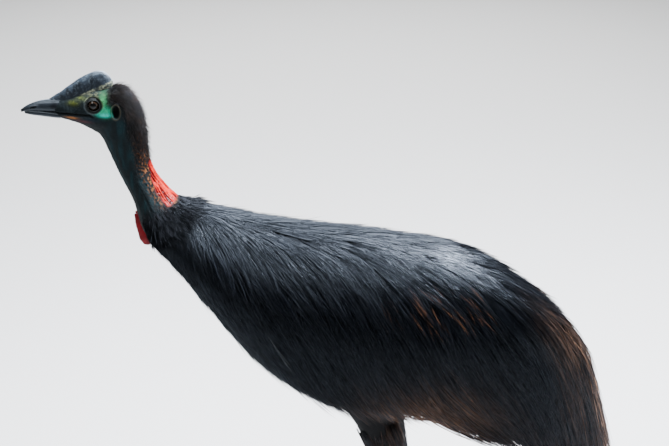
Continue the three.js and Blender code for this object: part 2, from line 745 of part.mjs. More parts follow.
function claw(shape, leg) {
  const [foot] = legPoints(leg, ['foot']);
  const way = toeWay(shape.turn, leg);
  const base = foot.clone().addScaledVector(way, shape.long - CLAW.root);
  const points = CLAW.stops.map((t) => base.clone()
    .addScaledVector(way, shape.claw * t)
    .setZ(CLAW.high * toeScale(shape) + shape.claw * (CLAW.rise * t - CLAW.droop * t * t)));
  const radii = CLAW.shares.map((share) => share * shape.clawWide);
  return rod(points, radii, CLAW.sides, CLAW.flatten)
    .trimByPlane(way.toArray(), way.dot(foot) + shape.long + GAP)
    .trimByPlane([0, 0, 1], CLAW.floor);
}

// Keeps the part of a toe on one side of an upright plane through the foot, turned by an angle.
function keepSide(made, leg, turn, isInner) {
  const [foot] = legPoints(leg, ['foot']);
  const normal = UP.clone().cross(toeWay(turn, leg)).multiplyScalar(leg.side * (isInner ? 1 : -1));
  return made.trimByPlane(normal.toArray(), normal.dot(foot) + GAP / 2);
}

// The planes that part each toe from the next: their angles, and whether the toe is on their inner side.
const INNER_TURN = (TOES.inner.turn + TOES.middle.turn) / 2;
const OUTER_TURN = (TOES.middle.turn + TOES.outer.turn) / 2;
const TOE_SIDES = {
  inner: [[INNER_TURN, true]],
  middle: [[INNER_TURN, false], [OUTER_TURN, true]],
  outer: [[OUTER_TURN, false]],
};

function digit(name, leg, cutter) {
  const shape = TOES[name];
  const count = Math.round(shape.long / TOE_SCUTE.apart);
  const scutes = Array.from({ length: count }, (_, k) => toeScute(shape, leg, k, count));
  const whole = join([toe(shape, leg), ...scutes]).subtract(cutter).trimByPlane([0, 0, 1], 0);
  return TOE_SIDES[name].reduce((made, [turn, isInner]) => keepSide(made, leg, turn, isInner), whole);
}

// Assembly
const bird = new THREE.Group();

function addNode(name, made, material) {
  const mesh = largest(made).getMesh();
  const stride = mesh.numProp;
  const points = new Float32Array(mesh.numVert * 3);
  for (let i = 0; i < mesh.numVert; i++) {
    points.set(mesh.vertProperties.subarray(i * stride, i * stride + 3), i * 3);
  }
  const geometry = new THREE.BufferGeometry();
  geometry.setAttribute('position', new THREE.BufferAttribute(points, 3));
  geometry.setIndex(new THREE.BufferAttribute(new Uint32Array(mesh.triVerts), 1));
  geometry.computeVertexNormals();
  const node = new THREE.Mesh(geometry, new THREE.MeshStandardMaterial(MATERIALS[material]));
  node.name = name;
  bird.add(node);
}

const nostrils = join([nostril(-1), nostril(1)]);
addNode('head', head(), 'head_skin');
addNode('casque', casque(0).subtract(skull(GROW)).subtract(upperBill(GROW)), 'casque_horn');
addNode('bill_upper', upperBill(0).subtract(skull(GROW)).subtract(nostrils), 'bill_horn');
addNode('bill_lower', lowerBill(0).subtract(skull(GROW)).subtract(upperBill(GROW)), 'bill_horn');
addNode('neck', join([neckCore(0), ...NECK_FOLDS.spread.map(neckFold)]), 'neck_skin');

const locks = bodyLocks();
const lockSolids = (from, to, grow) => locks
  .filter(({ u }) => u >= from && u < to)
  .map(({ line, wide, thick }) => ridged(lockPath(line, wide, thick), grow));
const lead = (grow) => join([
  tableLoft(BODY, LEAD_FORM, grow, coreInset),
  ...lockSolids(0, BODY_SPLIT, grow),
]);
const rear = (grow) => join([
  tableLoft(BODY, REAR_FORM, grow, coreInset),
  ...lockSolids(BODY_SPLIT + 0.1, bodyCurves.last, grow),
]);
const leadCutter = lead(GROW);
const rearCutter = rear(GROW);
addNode('torso', lead(0).subtract(wing(-1, GROW)).subtract(wing(1, GROW)), 'plumage');
addNode('tail', rear(0).subtract(leadCutter), 'plumage');

for (const [name, leg] of Object.entries(LEGS)) {
  addNode('eye_' + name, eyeBall(leg.side, 0), 'eye');
  addNode('ear_' + name, earRing(leg.side, 0), 'head_skin');
  addNode('wing_' + name, wing(leg.side, 0), 'quill');
  addNode('wattle_' + name, wattle(leg.side).subtract(neckCore(GROW)).subtract(leadCutter), 'red_skin');
  const clearThigh = thigh(leg).subtract(leadCutter).subtract(rearCutter).subtract(shank(leg, GROW));
  addNode('thigh_' + name, clearThigh, 'plumage');
  const scutes = Array.from({ length: SHANK_SCUTE.count }, (_, k) => shankScute(leg, k));
  const shankWhole = join([shank(leg, 0), pad(leg, 0), ...scutes]).trimByPlane([0, 0, 1], 0);
  addNode('shank_' + name, shankWhole, 'leg_scale');
  const cutter = join([shank(leg, GROW), pad(leg, GROW)]);
  for (const toeName of Object.keys(TOES)) {
    addNode(`toe_${toeName}_${name}`, digit(toeName, leg, cutter), 'leg_scale');
    addNode(`claw_${toeName}_${name}`, claw(TOES[toeName], leg), 'claw_horn');
  }
}

// The frame's origin is on the floor under the middle of the whole bird.
const box = new THREE.Box3().setFromObject(bird);
const middle = box.getCenter(new THREE.Vector3());
bird.position.set(-middle.x, -middle.y, -box.min.z);

export default bird;
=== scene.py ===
import math

import bpy
import numpy as np
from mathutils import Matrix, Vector


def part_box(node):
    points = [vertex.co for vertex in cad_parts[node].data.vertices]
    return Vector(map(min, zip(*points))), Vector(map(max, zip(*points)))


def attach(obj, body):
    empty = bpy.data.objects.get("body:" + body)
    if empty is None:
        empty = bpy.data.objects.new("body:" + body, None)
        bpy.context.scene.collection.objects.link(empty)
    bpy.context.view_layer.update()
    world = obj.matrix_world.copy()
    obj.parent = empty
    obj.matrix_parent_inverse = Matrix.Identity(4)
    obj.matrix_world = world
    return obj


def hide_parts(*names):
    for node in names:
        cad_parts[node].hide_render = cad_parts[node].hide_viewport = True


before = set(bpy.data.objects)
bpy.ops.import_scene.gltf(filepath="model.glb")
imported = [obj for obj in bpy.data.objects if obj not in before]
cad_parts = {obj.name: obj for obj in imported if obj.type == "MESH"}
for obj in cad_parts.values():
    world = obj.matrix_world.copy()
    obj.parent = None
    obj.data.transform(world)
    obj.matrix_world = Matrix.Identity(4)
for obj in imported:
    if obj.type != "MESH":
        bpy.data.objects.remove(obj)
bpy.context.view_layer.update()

# Millimetres in the bird's own drawing frame, whose origin is below the shoulder. The bird faces -X.
MM = 0.001
SOLID_EYE_X = -407
eye_low, eye_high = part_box("eye_left")
SHIFT = np.array([(eye_low.x + eye_high.x) / 2 / MM - SOLID_EYE_X, 0, 0])

# Slices through the bird in its middle plane, from front to back: the x and z of the upper edge, the x and z
# of the lower edge, and half the width. A place along the bird is counted in slices.
HEAD = [
    (-474, 1061, -472, 1033, 9),
    (-451, 1067, -454, 1028, 15),
    (-431, 1073, -434, 1022, 23),
    (-410, 1079, -421, 1016, 29),
    (-389, 1084, -412, 1011, 32),
    (-369, 1087, -406, 1007, 32),
    (-349, 1079, -401, 1003, 32),
    (-334, 1058, -396, 996, 31),
]
NECK = [
    (-327, 1036, -392, 987, 30),
    (-323, 1009, -386, 972, 29),
    (-322, 981, -379, 954, 28),
    (-318, 957, -371, 934, 28.5),
    (-311, 936, -361, 912, 30),
    (-299, 916, -350, 886, 34),
    (-282, 896, -342, 858, 42),
]
BODY = [
    (-262, 881, -333, 829, 54),
    (-234, 872, -311, 802, 70),
    (-196, 864, -283, 768, 88),
    (-148, 854, -246, 717, 106),
    (-87, 845, -197, 651, 122),
    (-17, 837, -132, 573, 133),
    (59, 829, -36, 508, 140),
    (136, 817, 69, 472, 145),
    (212, 803, 176, 466, 146),
    (284, 771, 269, 465, 138),
    (351, 725, 341, 470, 122),
    (409, 675, 392, 486, 98),
    (452, 613, 432, 512, 66),
    (472, 562, 458, 532, 30),
]
CASQUE = [
    (-484, 1064, -480, 1056, 3),
    (-464, 1076, -459, 1055, 6.5),
    (-447, 1089, -438, 1056, 9.5),
    (-426, 1103, -418, 1060, 12),
    (-406, 1111, -400, 1068, 13),
    (-391, 1113, -386, 1075, 12.5),
    (-380, 1105, -378, 1080, 9.5),
    (-374, 1094, -375, 1086, 5),
]
UPPER_BILL = [
    (-533, 1045, -532, 1041, 1.5),
    (-523, 1052, -524, 1042.5, 4),
    (-508, 1058.5, -509, 1043, 6.5),
    (-492, 1062.5, -494, 1042.5, 8.5),
    (-477, 1064, -477, 1041.5, 10.5),
    (-462, 1065, -462, 1040.5, 12),
]
LOWER_BILL = [
    (-527, 1043.0, -526, 1038.5, 2),
    (-514, 1044.4, -515, 1036, 4.3),
    (-494, 1044.2, -494, 1033.5, 7.2),
    (-477, 1043.2, -477, 1031.5, 9.2),
    (-464, 1042.2, -465, 1030.5, 10.7),
]
FACE_END = 7
NECK_BASE = len(HEAD) + len(NECK)
SKIN_SIDES = 216
SKIN_RINGS = {"face": 170, "neck": 170, "body": 80}

# The head's details, each at its x, y and z with its half sizes
EYE = {"x": -404.5, "y": 15.5, "z": 1058.5, "radius": 12.5, "bulge": 0.55, "clear": {"wide": 17, "high": 15}}
LID = {"radius": 13.6, "wide": 10.2, "high": 9.0, "reach": 30, "slit": 0.78, "edge": 0.97, "spread": 1.75}
EAR = {"x": -367, "z": 1048, "wide": 6.5, "high": 11, "deep": 8, "rim": 2.0, "reach": 26}
EAR_CLEAR = {"wide": 9.5, "high": 14.5}
GAPE = {"front": -474, "back": -409, "low": 1041.4, "high": 1043, "droop": 4.5}
NOSTRIL = {"x": -511, "z": 1049.8, "long": 6, "high": 1.8, "deep": 2.6, "lean": 0.25}
MIDDLE_STRIP = 2
# Height, x, z, half length and half height of the face's swellings
FACE_RELIEF = ((-2.6, -442, 1055, 13, 7), (1.6, -404, 1078, 16, 5), (1.8, -396, 1029, 14, 8))
# Height, place and width of the folds in the lids, counted from the eye's middle, and of the lips
LID_FOLDS = ((-0.9, 1.42, 0.10), (-0.6, 1.22, 0.05), (0.9, 1.04, 0.05))
LIPS = ((-2.4, 0, 1.0), (0.7, 2.6, 1.3), (1.0, -3.0, 1.6))
RED = {
    "places": (10.5, 12.0, 13.5, 14.7), "degrees": (16, 34, 50, 44),
    "top": (10.6, 11.6), "end": (14.15, 14.75),
}
WATTLE = {
    "top": (-343, 861), "tip": (-325, 804), "top_y": 7, "tip_y": 12,
    "wide": 11.5, "thick": 4.6, "clear": 7,
}
WATTLE_STOPS = (0, 0.2, 0.5, 0.78, 0.94, 1)
WATTLE_SHARES = (0.5, 0.75, 0.95, 1, 0.7, 0.2)

# The coat: its depth and its feathers' length at each slice of the body, and the lower edge as x and z
COAT_DEPTH = [3, 8, 14, 20, 26, 30, 32, 34, 36, 40, 44, 44, 38, 16]
CORE_SHARE = 0.5
FEATHER_LENGTH = [62, 85, 115, 145, 165, 180, 190, 200, 210, 228, 240, 245, 235, 225]
LIE = {"down": 1.45, "under": 0.15, "rump": 3.2}
HEM = [
    (-333, 822), (-283, 762), (-246, 710), (-197, 644), (-132, 566), (-36, 501), (69, 474),
    (130, 478), (190, 470), (251, 444), (323, 396), (400, 345), (520, 332),
]
HEM_RISE = 0.3
FEATHERS = {
    "first": 0.05, "last": 12.95, "apart": 17.0, "rump_closer": 0.16,
    "strands": 16, "steps": 26, "seed": 5,
}
SWAY = {"each": math.radians(4.5), "together": math.radians(11), "scale": 130}
STRAND = {"root": 0.62, "tip": 0.08, "rings": (0.0, 0.2, 0.45, 0.7, 0.88, 1.0)}
STRAND_SPREAD = {"stops": (0, 0.3, 0.65, 1), "across": (2.5, 9, 11, 6.5), "lift": 2.6, "wave": 1.3}
THIGH_PLUMES = {"count": 3600, "thick": 0.8, "rings": (0.0, 0.3, 0.65, 1.0), "seed": 77}
BRISTLES = {"count": 40000, "rings": (0.0, 0.35, 0.7, 1.0), "seed": 88}
PIECE_STRANDS = 6900
BAKE_PATCH = 0.003
BAKE_JITTER = 0.0025

# Wings and legs, with each leg's joints in x and z
WING = {"u": 3.2, "angle": 98, "over": 0.5, "under": 9, "long": 88, "high": 32, "way": (0.72, 0, -0.69)}
QUILL = {
    "count": 5, "long": 185, "shorter": 0.11, "base": 2.0, "tip": 0.8,
    "fan": 58, "sag": (-0.1, 0, -0.35),
}
LEG_Y = 80
HIP_IN = 24
LEGS = {
    "left": {
        "side": -1, "hip": (40, 560), "mid": (98, 430),
        "bare": (119, 345), "hock": (128, 300), "foot": (112, 24),
    },
    "right": {
        "side": 1, "hip": (40, 560), "mid": (98, 430),
        "bare": (121, 345), "hock": (132, 300), "foot": (166, 24),
    },
}
THIGH_SIZES = ((74, 50), (32, 29), (20, 18))
SHIN_STOPS = (0.1, 0.24, 0.6, 0.85, 1.0)
SHIN_RADII = (15.5, 16.2, 16.2, 20.5, 17, 13.2, 12.2, 13.6, 16.6)
SHIN_FLATTEN = 0.88
PAD = (25, 26, 25)
TOES = {
    "inner": {"turn": 33, "long": 74, "wide": 12.5, "claw": 84, "claw_wide": 8.5},
    "middle": {"turn": 0, "long": 128, "wide": 14.5, "claw": 34, "claw_wide": 8},
    "outer": {"turn": -36, "long": 92, "wide": 12, "claw": 28, "claw_wide": 7},
}
TOE_STOPS = (0.05, 0.3, 0.48, 0.56, 0.74, 0.82, 0.93, 1)
TOE_HIGH = (21, 15.5, 13, 13.6, 12, 12.4, 11.4, 8.6)
TOE_WIDE = (0.95, 1, 0.86, 1, 0.84, 0.97, 0.84, 0.5)
SHANK_SCUTE = {"long": 13.5, "face": 0.9, "high": 1.5, "sink": 0.5}
TOE_SCUTE = {"long": 8.5, "face": 0.86, "high": 1.2, "sink": 0.3}
CLAW_STOPS = (-0.06, 0, 0.3, 0.65, 0.9, 1)
CLAW_SHARES = (0.82, 0.96, 0.84, 0.54, 0.22, 0.03)
LEG_VOXEL = 1.9

# Colours: plain ones, and the face's patches with x, z, half length, half height, strength and most
TEAL_BLACK = (0.0016, 0.0042, 0.0052)
TEAL = (0.0022, 0.0130, 0.0165)
NAPE_BLACK = (0.0013, 0.0010, 0.0008)
RUST = (0.13, 0.045, 0.012)
RED_SKIN = (0.11, 0.003, 0.003)
# The red folds' ridges are painted lighter as highlight, and their grooves darker as painted shade
RED_RIDGE_HIGHLIGHT = (0.32, 0.014, 0.007)
RED_GROOVE_SHADE = (0.020, 0.002, 0.002)
RED_WATTLE = (0.13, 0.003, 0.006)
OLIVE = (0.050, 0.062, 0.012)
BROW = (0.055, 0.060, 0.032)
FACE_PATCHES = (
    ((0.012, 0.085, 0.030), (-388, 1064, 6, 13), 1.2, 1.0),
    ((0.006, 0.19, 0.095), (-385, 1049, 10, 7.5), 1.35, 1.0),
    ((0.010, 0.30, 0.24), (-385, 1043.5, 10, 3.4), 1.2, 1.0),
    ((0.0015, 0.007, 0.012), (-408, 1035, 20, 4.5), 1.0, 0.8),
    ((0.040, 0.012, 0.016), (-424, 1030, 13, 2.6), 1.0, 0.9),
    ((0.15, 0.055, 0.014), (-445, 1035, 10, 2.0), 1.3, 1.0),
)
COAT_BLACK = np.array([0.0013, 0.0016, 0.0023])
COAT_BROWN = np.array([0.068, 0.038, 0.024])
# Orange-brown strand tips, partly brown and partly painted highlight
COAT_TAWNY_HIGHLIGHT = np.array([0.42, 0.18, 0.085])
DOWN_BLACK = (0.0014, 0.0014, 0.0018)
DOWN_BROWN = (0.0060, 0.0036, 0.0022)
HORN_BLACK = (0.003, 0.004, 0.006)
# Pale horn, partly real wear and partly painted highlight on the casque's top
HORN_WORN_AND_HIGHLIGHT = (0.16, 0.19, 0.22)

# Gloss: how strongly each kind of surface reflects, and the tint of its reflections
SPECULAR = {"feather": 0.31, "down": 0.12, "skin": 0.11, "horn": 0.26, "eye": 0.1}
PLUMAGE_TINT = (0.70, 0.83, 1.0, 1.0)
HORN_TINT = (0.74, 0.88, 1.0, 1.0)

# The studio: each light's place, aim, size, power and colour, then the floor and the photo's camera
LIGHTS = {
    "key": ((-1.7, -1.5, 3.3), (-0.1, 0, 0.8), 1.2, 75, (1.0, 0.99, 0.97)),
    "back": ((0.95, 0.20, 3.4), (0.2, 0, 0.8), 1.2, 1050, (0.90, 0.93, 1.0)),
    "shoulder": ((0.0, 0.20, 3.4), (-0.1, 0, 0.8), 0.9, 200, (0.90, 0.93, 1.0)),
    "far": ((0, 5.0, 3.2), (0, 5.0, 0), 4.0, 420, (1, 1, 1)),
    "side": ((2.8, -1.9, 1.3), (0.15, 0, 0.6), 1.2, 24, (1.0, 0.97, 0.94)),
}
SKY = {"colour": (0.78, 0.82, 0.88, 1), "strength": 0.24}
FLOOR = {"size": 40, "colour": (0.46, 0.46, 0.455, 1), "roughness": 0.9}
IMAGE = (669, 446)
CAMERA = {"elevation": 20, "distance": 2400, "aim": (0, 0, 840), "mm_per_px": 1.75, "sensor": 36}


def smoothstep(x, low, high):
    t = np.clip((np.asarray(x, float) - low) / (high - low), 0, 1)
    return t * t * (3 - 2 * t)


def bell(x, middle, width):
    return np.exp(-(((x - middle) / width) ** 2))


def ridges(x, table):
    """The sum of the ridges in a table, each with its height, place and width."""
    return sum(height * bell(x, place, width) for height, place, width in table)


def blob(points, x, z, wide, high):
    return np.exp(-(((points[:, 0] - x) / wide) ** 2) - ((points[:, 2] - z) / high) ** 2)


def spot_share(points, spot, size):
    """Distance from a spot on the head, as a share of the half sizes of an ellipse round it."""
    return np.hypot((points[:, 0] - spot["x"]) / size["wide"], (points[:, 2] - spot["z"]) / size["high"])


def unit(v):
    return v / np.maximum(np.linalg.norm(v, axis=-1, keepdims=True), 1e-9)


def dot(a, b):
    return np.sum(a * b, axis=-1, keepdims=True)


def mix(a, b, share):
    share = np.asarray(share)[:, None]
    return np.asarray(a) * (1 - share) + np.asarray(b) * share


def lattice(cells, seed):
    """A repeatable number from 0 to 1 for each whole-number place."""
    n = cells[..., 0] * 374761393 + cells[..., 1] * 668265263 + cells[..., 2] * 2147483647 + seed * 974711
    n = (n ^ (n >> 13)) * 1274126177
    n = n & 0xFFFFFFFF
    return ((n ^ (n >> 16)) & 0xFFFF) / 65535.0


def noise(points, scale, seed):
    """Smooth noise from -1 to 1 over points, with features as large as scale."""
    p = np.asarray(points, float) / scale + 4096
    cell = np.floor(p).astype(np.int64)
    f = p - cell
    f = f * f * (3 - 2 * f)
    total = np.zeros(p.shape[:-1])
    for corner in np.ndindex(2, 2, 2):
        weight = np.prod(np.where(np.array(corner) == 1, f, 1 - f), axis=-1)
        total += weight * lattice(cell + np.array(corner), seed)
    return total * 2 - 1


def fold_height(points, scale, seed, stretch=(1, 1, 1)):
    """Ridged noise up to 1 on the ridges, for folds."""
    return 1 - np.abs(noise(points * np.array(stretch) / scale, 1.0, seed))


def catmull(points, u):
    """The smooth curve through points, at places counted in points."""
    pts = np.asarray(points, float)
    ext = np.vstack([2 * pts[0] - pts[1], pts, 2 * pts[-1] - pts[-2]])
    u = np.clip(np.asarray(u, float), 0, len(pts) - 1)
    i = np.minimum(u.astype(int), len(pts) - 2)
    t = (u - i)[..., None]
    a, b, c, d = ext[i], ext[i + 1], ext[i + 2], ext[i + 3]
    return 0.5 * (2 * b + (c - a) * t + (2 * a - 5 * b + 4 * c - d) * t**2 + (3 * b - a - 3 * c + d) * t**3)


class Form:
    """A form lofted through slices, with its places counted in slices."""

    def __init__(self, table):
        self.rows = np.array(table, float)
        self.last = len(table) - 1

    def slices(self, u):
        """Middle, upward way, backward way, half height and half width at each place."""
        row = catmull(self.rows, u)
        flat = np.zeros_like(row[..., 0])
        top = np.stack([row[..., 0], flat, row[..., 1]], -1)
        low = np.stack([row[..., 2], flat, row[..., 3]], -1)
        span = top - low
        high = np.linalg.norm(span, axis=-1) / 2
        up = span / (2 * high[..., None])
        back = np.stack([up[..., 2], flat, -up[..., 0]], -1)
        return (top + low) / 2, up, back, high, row[..., 4]

    def points(self, u, angle, inset=0, square=2.0, crown=0.0):
        """Points round the form. Square shapes its slices, and crown narrows their upper half."""
        centre, up, _, high, wide = self.slices(u)
        c, s = np.cos(angle), np.sin(angle)
        q = np.sign(c) * np.abs(c) ** (2 / square)
        r = np.sign(s) * np.abs(s) ** (2 / square)
        wide = wide * (1 - crown * (q + 1) / 2)
        out = centre + up * ((high - inset) * q)[..., None]
        out[..., 1] += (wide - inset) * r
        return out

    def outward(self, u, angle, inset=0, step=1, square=2.0, crown=0.0):
        """The way out of the form at each place."""
        outer = self.points(u, angle, inset - step, square, crown)
        return unit(outer - self.points(u, angle, inset + step, square, crown))

    def place_of(self, points):
        """The slice that each point lies on."""
        low = np.zeros(len(points))
        high = np.full(len(points), float(self.last))
        for _ in range(15):
            u = (low + high) / 2
            centre, _, back, _, _ = self.slices(u)
            ahead = dot(points - centre, back)[:, 0] > 0
            low = np.where(ahead, u, low)
            high = np.where(ahead, high, u)
        return (low + high) / 2

    def angle_of(self, points, u):
        centre, up, _, high, wide = self.slices(u)
        flat = points - centre
        return np.arctan2(flat[:, 1] / wide, dot(flat, up)[:, 0] / high)

    def share_of(self, points, u, inset):
        """How far out points lie, as a share of the form's half sizes less an inset."""
        centre, up, _, high, wide = self.slices(u)
        flat = points - centre
        return np.hypot(dot(flat, up)[:, 0] / (high - inset), flat[:, 1] / (wide - inset))


def ring_angles(rings, sides, offset=0):
    """The angle of each point in rings round a form, from -pi to pi."""
    angle = np.tile(2 * np.pi * (np.arange(sides) + offset) / sides, rings)
    return np.where(angle > np.pi, angle - 2 * np.pi, angle)


skin_form = Form(HEAD + NECK + BODY)
body_form = Form(BODY)


def core_inset(u):
    """How deep the coat's roots lie under the body's outline."""
    return np.interp(u, range(len(COAT_DEPTH)), COAT_DEPTH) * CORE_SHARE


# Mesh helpers


def make_object(name, points, faces):
    """A mesh object from points in millimetres and triangles."""
    faces = np.asarray(faces, dtype=np.int32)
    mesh = bpy.data.meshes.new(name)
    mesh.vertices.add(len(points))
    mesh.loops.add(faces.size)
    mesh.loops.foreach_set("vertex_index", faces.ravel())
    mesh.polygons.add(len(faces))
    mesh.polygons.foreach_set("loop_start", np.arange(0, faces.size, 3, dtype=np.int32))
    obj = bpy.data.objects.new(name, mesh)
    move_points(obj, points)
    mesh.update(calc_edges=True)
    mesh.validate()
    bpy.context.scene.collection.objects.link(obj)
    return obj


def points_of(obj):
    co = np.empty(len(obj.data.vertices) * 3, np.float32)
    obj.data.vertices.foreach_get("co", co)
    return co.reshape(-1, 3).astype(float) / MM - SHIFT


def move_points(obj, points):
    obj.data.vertices.foreach_set("co", ((points + SHIFT) * MM).astype(np.float32).ravel())
    obj.data.update()


def paint(obj, colours, roughness=0.5):
    """One colour for each vertex, with its roughness as the alpha."""
    rgba = np.empty((len(colours), 4), np.float32)
    rgba[:, :3] = np.clip(colours, 0, 1)
    rgba[:, 3] = roughness
    layer = obj.data.color_attributes.new("tone", "FLOAT_COLOR", "POINT")
    layer.data.foreach_set("color", rgba.ravel())


def close_tube(points, rings, sides):
    """The points and triangles of a tube round rings of points, with a fan to a middle point at each end."""
    grid = points.reshape(rings, sides, 3)
    both = np.concatenate([points, grid[:1].mean(1), grid[-1:].mean(1)])
    a = np.arange(sides)
    b = (a + 1) % sides
    step = (sides * np.arange(rings - 1))[:, None, None]
    quads = (np.stack([a, b, b + sides, a + sides], 1)[None] + step).reshape(-1, 4)
    start = np.full(sides, rings * sides)
    last = (rings - 1) * sides
    caps = [np.stack([b, a, start], 1), np.stack([a + last, b + last, start + 1], 1)]
    return both, np.concatenate([quads[:, [0, 1, 2]], quads[:, [0, 2, 3]], *caps])


def tube(name, centres, radii, sides, flatten=1.0, side_way=(0, 1, 0)):
    """A round tapered tube along centres."""
    centres = np.asarray(centres, float)
    along = unit(np.gradient(centres, axis=0))
    across = unit(np.cross(np.broadcast_to(side_way, along.shape), along))
    face = unit(np.cross(along, across))
    turn = (2 * np.pi * np.arange(sides) / sides)[None, :, None]
    radii = np.asarray(radii, float)[:, None, None]
    ring = across[:, None] * np.cos(turn) + face[:, None] * np.sin(turn) * flatten
    points, tris = close_tube((centres[:, None] + ring * radii).reshape(-1, 3), len(centres), sides)
    return make_object(name, points, tris)


def select_only(objects):
    bpy.ops.object.select_all(action="DESELECT")
    for obj in objects:
        obj.select_set(True)
    bpy.context.view_layer.objects.active = objects[0]


def join_objects(objects, name):
    select_only(objects)
    bpy.ops.object.join()
    objects[0].name = name
    objects[0].data.name = name
    return objects[0]


def apply_modifier(obj, kind, **values):
    modifier = obj.modifiers.new(kind, kind)
    for key, value in values.items():
        setattr(modifier, key, value)
    select_only([obj])
    bpy.ops.object.modifier_apply(modifier=modifier.name)


def unite(obj, other):
    """Joins a closed mesh to another as one surface."""
    apply_modifier(obj, "BOOLEAN", operation="UNION", solver="MANIFOLD", object=other)
    bpy.data.objects.remove(other)


def finish_piece(obj, material, nodes=()):
    obj.data.materials.clear()
    obj.data.materials.append(material)
    obj.data.polygons.foreach_set("use_smooth", np.full(len(obj.data.polygons), True))
    if nodes:
        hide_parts(*nodes)
    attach(obj, "root")


# Materials


def new_material(name, specular=0.5, tint=(1, 1, 1, 1), roughness=0.5):
    material = bpy.data.materials.new(name)
    material.use_nodes = True
    shader = material.node_tree.nodes["Principled BSDF"]
    shader.inputs["Specular IOR Level"].default_value = specular
    shader.inputs["Specular Tint"].default_value = tint
    shader.inputs["Roughness"].default_value = roughness
    return material, material.node_tree, shader


def add_node(tree, kind, **values):
    node = tree.nodes.new(kind)
    for key, value in values.items():
        if key in node.inputs:
            node.inputs[key].default_value = value
        else:
            setattr(node, key, value)
    return node


def object_noise(tree, scale, detail, roughness=0.6):
    place = tree.nodes.new("ShaderNodeTexCoord")
    made = add_node(tree, "ShaderNodeTexNoise", Scale=scale, Detail=detail, Roughness=roughness)
    tree.links.new(place.outputs["Object"], made.inputs["Vector"])
    return made.outputs["Fac"]


def ranged(tree, source, low, high):
    """A value from 0 to 1 spread from low to high."""
    ramp = add_node(tree, "ShaderNodeMapRange", **{"To Min": low, "To Max": high})
    tree.links.new(source, ramp.inputs["Value"])
    return ramp.outputs["Result"]


def use_paint(tree, shader, mottle=None, amount=0.0):
    """The painted colour, darkened and lightened by a noise. Returns the painted roughness."""
    tone = add_node(tree, "ShaderNodeAttribute", attribute_name="tone")
    out = tone.outputs["Color"]
    if mottle is not None:
        scaled = add_node(tree, "ShaderNodeVectorMath", operation="SCALE")
        tree.links.new(out, scaled.inputs[0])
        tree.links.new(ranged(tree, mottle, 1 - amount, 1 + amount), scaled.inputs["Scale"])
        out = scaled.outputs["Vector"]
    tree.links.new(out, shader.inputs["Base Color"])
    return tone.outputs["Alpha"]


def bump(tree, shader, height, strength, distance):
    node = add_node(tree, "ShaderNodeBump", Strength=strength, Distance=distance)
    tree.links.new(height, node.inputs["Height"])
    tree.links.new(node.outputs["Normal"], shader.inputs["Normal"])


def feather_material(name):
    material, tree, shader = new_material(name, SPECULAR[name], PLUMAGE_TINT)
    tree.links.new(use_paint(tree, shader), shader.inputs["Roughness"])
    return material


def skin_material():
    material, tree, shader = new_material("skin", SPECULAR["skin"])
    pores = object_noise(tree, 900.0, 3.0)
    blotches = object_noise(tree, 160.0, 5.0)
    tree.links.new(use_paint(tree, shader, blotches, 0.35), shader.inputs["Roughness"])
    bump(tree, shader, pores, 0.55, 0.0006)
    return material


def horn_material(name, scale, low, high, strength):
    """Grained horn, whose roughness runs from low to high with the grain."""
    material, tree, shader = new_material(name, SPECULAR["horn"], HORN_TINT)
    grain = object_noise(tree, scale, 6.0, 0.65)
    use_paint(tree, shader, grain, 0.4)
    tree.links.new(ranged(tree, grain, low, high), shader.inputs["Roughness"])
    bump(tree, shader, grain, strength, 0.0008)
    return material


def eye_material():
    material, tree, shader = new_material("eye", SPECULAR["eye"], roughness=0.12)
    shader.inputs["Coat Weight"].default_value = 0.2
    shader.inputs["Coat Roughness"].default_value = 0.02
    use_paint(tree, shader)
    return material


# Skin: one surface from the face to the rump, joined to the wattles and legs


def red_share(u, angle):
    """How far the hind neck's red folded skin reaches, from 0 to 1."""
    reach = np.interp(u, RED["places"], RED["degrees"])
    side = 1 - smoothstep(np.degrees(np.abs(angle)) - reach, -9, 9)
    return side * smoothstep(u, *RED["top"]) * (1 - smoothstep(u, *RED["end"]))


def red_folds(points, u, angle):
    """The red skin's long folds, from 0 in the grooves to 1 on the ridges."""
    turn = angle * 8 + 0.7 * noise(points, 26, 8)
    return fold_height(np.stack([turn, np.zeros_like(u), u * 0.9], 1), 1.0, 7)


def shape_eye(points, side):
    """Draws the skin into lids round the eye and sinks it behind the eyeball."""
    out = points.copy()
    dx = points[:, 0] - EYE["x"]
    dz = points[:, 2] - EYE["z"]
    near = (points[:, 1] * side > MIDDLE_STRIP) & (np.hypot(dx, dz) < LID["reach"])
    e = spot_share(points, EYE, LID)
    pulled = np.where(e < LID["slit"], e / LID["slit"] * LID["edge"], np.maximum(e, 1.0))
    grow = pulled / np.maximum(e, 1e-6)
    dx = dx * grow
    dz = dz * grow
    lid = EYE["y"] + np.sqrt(np.maximum(LID["radius"] ** 2 - dx**2 - dz**2, 0))
    skull = np.abs(points[:, 1])
    blend = 1 - smoothstep(pulled, 1.0, LID["spread"])
    y = skull * (1 - blend) + np.maximum(lid, skull - 3) * blend + ridges(pulled, LID_FOLDS)
    y = np.where(pulled < 0.985, EYE["y"] - 4, y)
    out[near] = np.stack([EYE["x"] + dx, side * y, EYE["z"] + dz], 1)[near]
    return out


def shape_ear(points, side):
    """Raises a rim round the ear hole and sinks the hole."""
    out = points.copy()
    off = np.hypot(points[:, 0] - EAR["x"], points[:, 2] - EAR["z"])
    near = (points[:, 1] * side > MIDDLE_STRIP) & (off < EAR["reach"])
    e = spot_share(points, EAR, EAR)
    push = EAR["rim"] * bell(e, 1.14, 0.16) - EAR["deep"] * np.sqrt(np.clip(1 - e**2, 0, 1))
    out[near, 1] += side * push[near]
    return out


def mouth_line(x):
    """The height of the mouth's line at a place along the head."""
    t = (x - GAPE["front"]) / (GAPE["back"] - GAPE["front"])
    return GAPE["low"] + (GAPE["high"] - GAPE["low"]) * t - GAPE["droop"] * smoothstep(t, 0.93, 1.12)


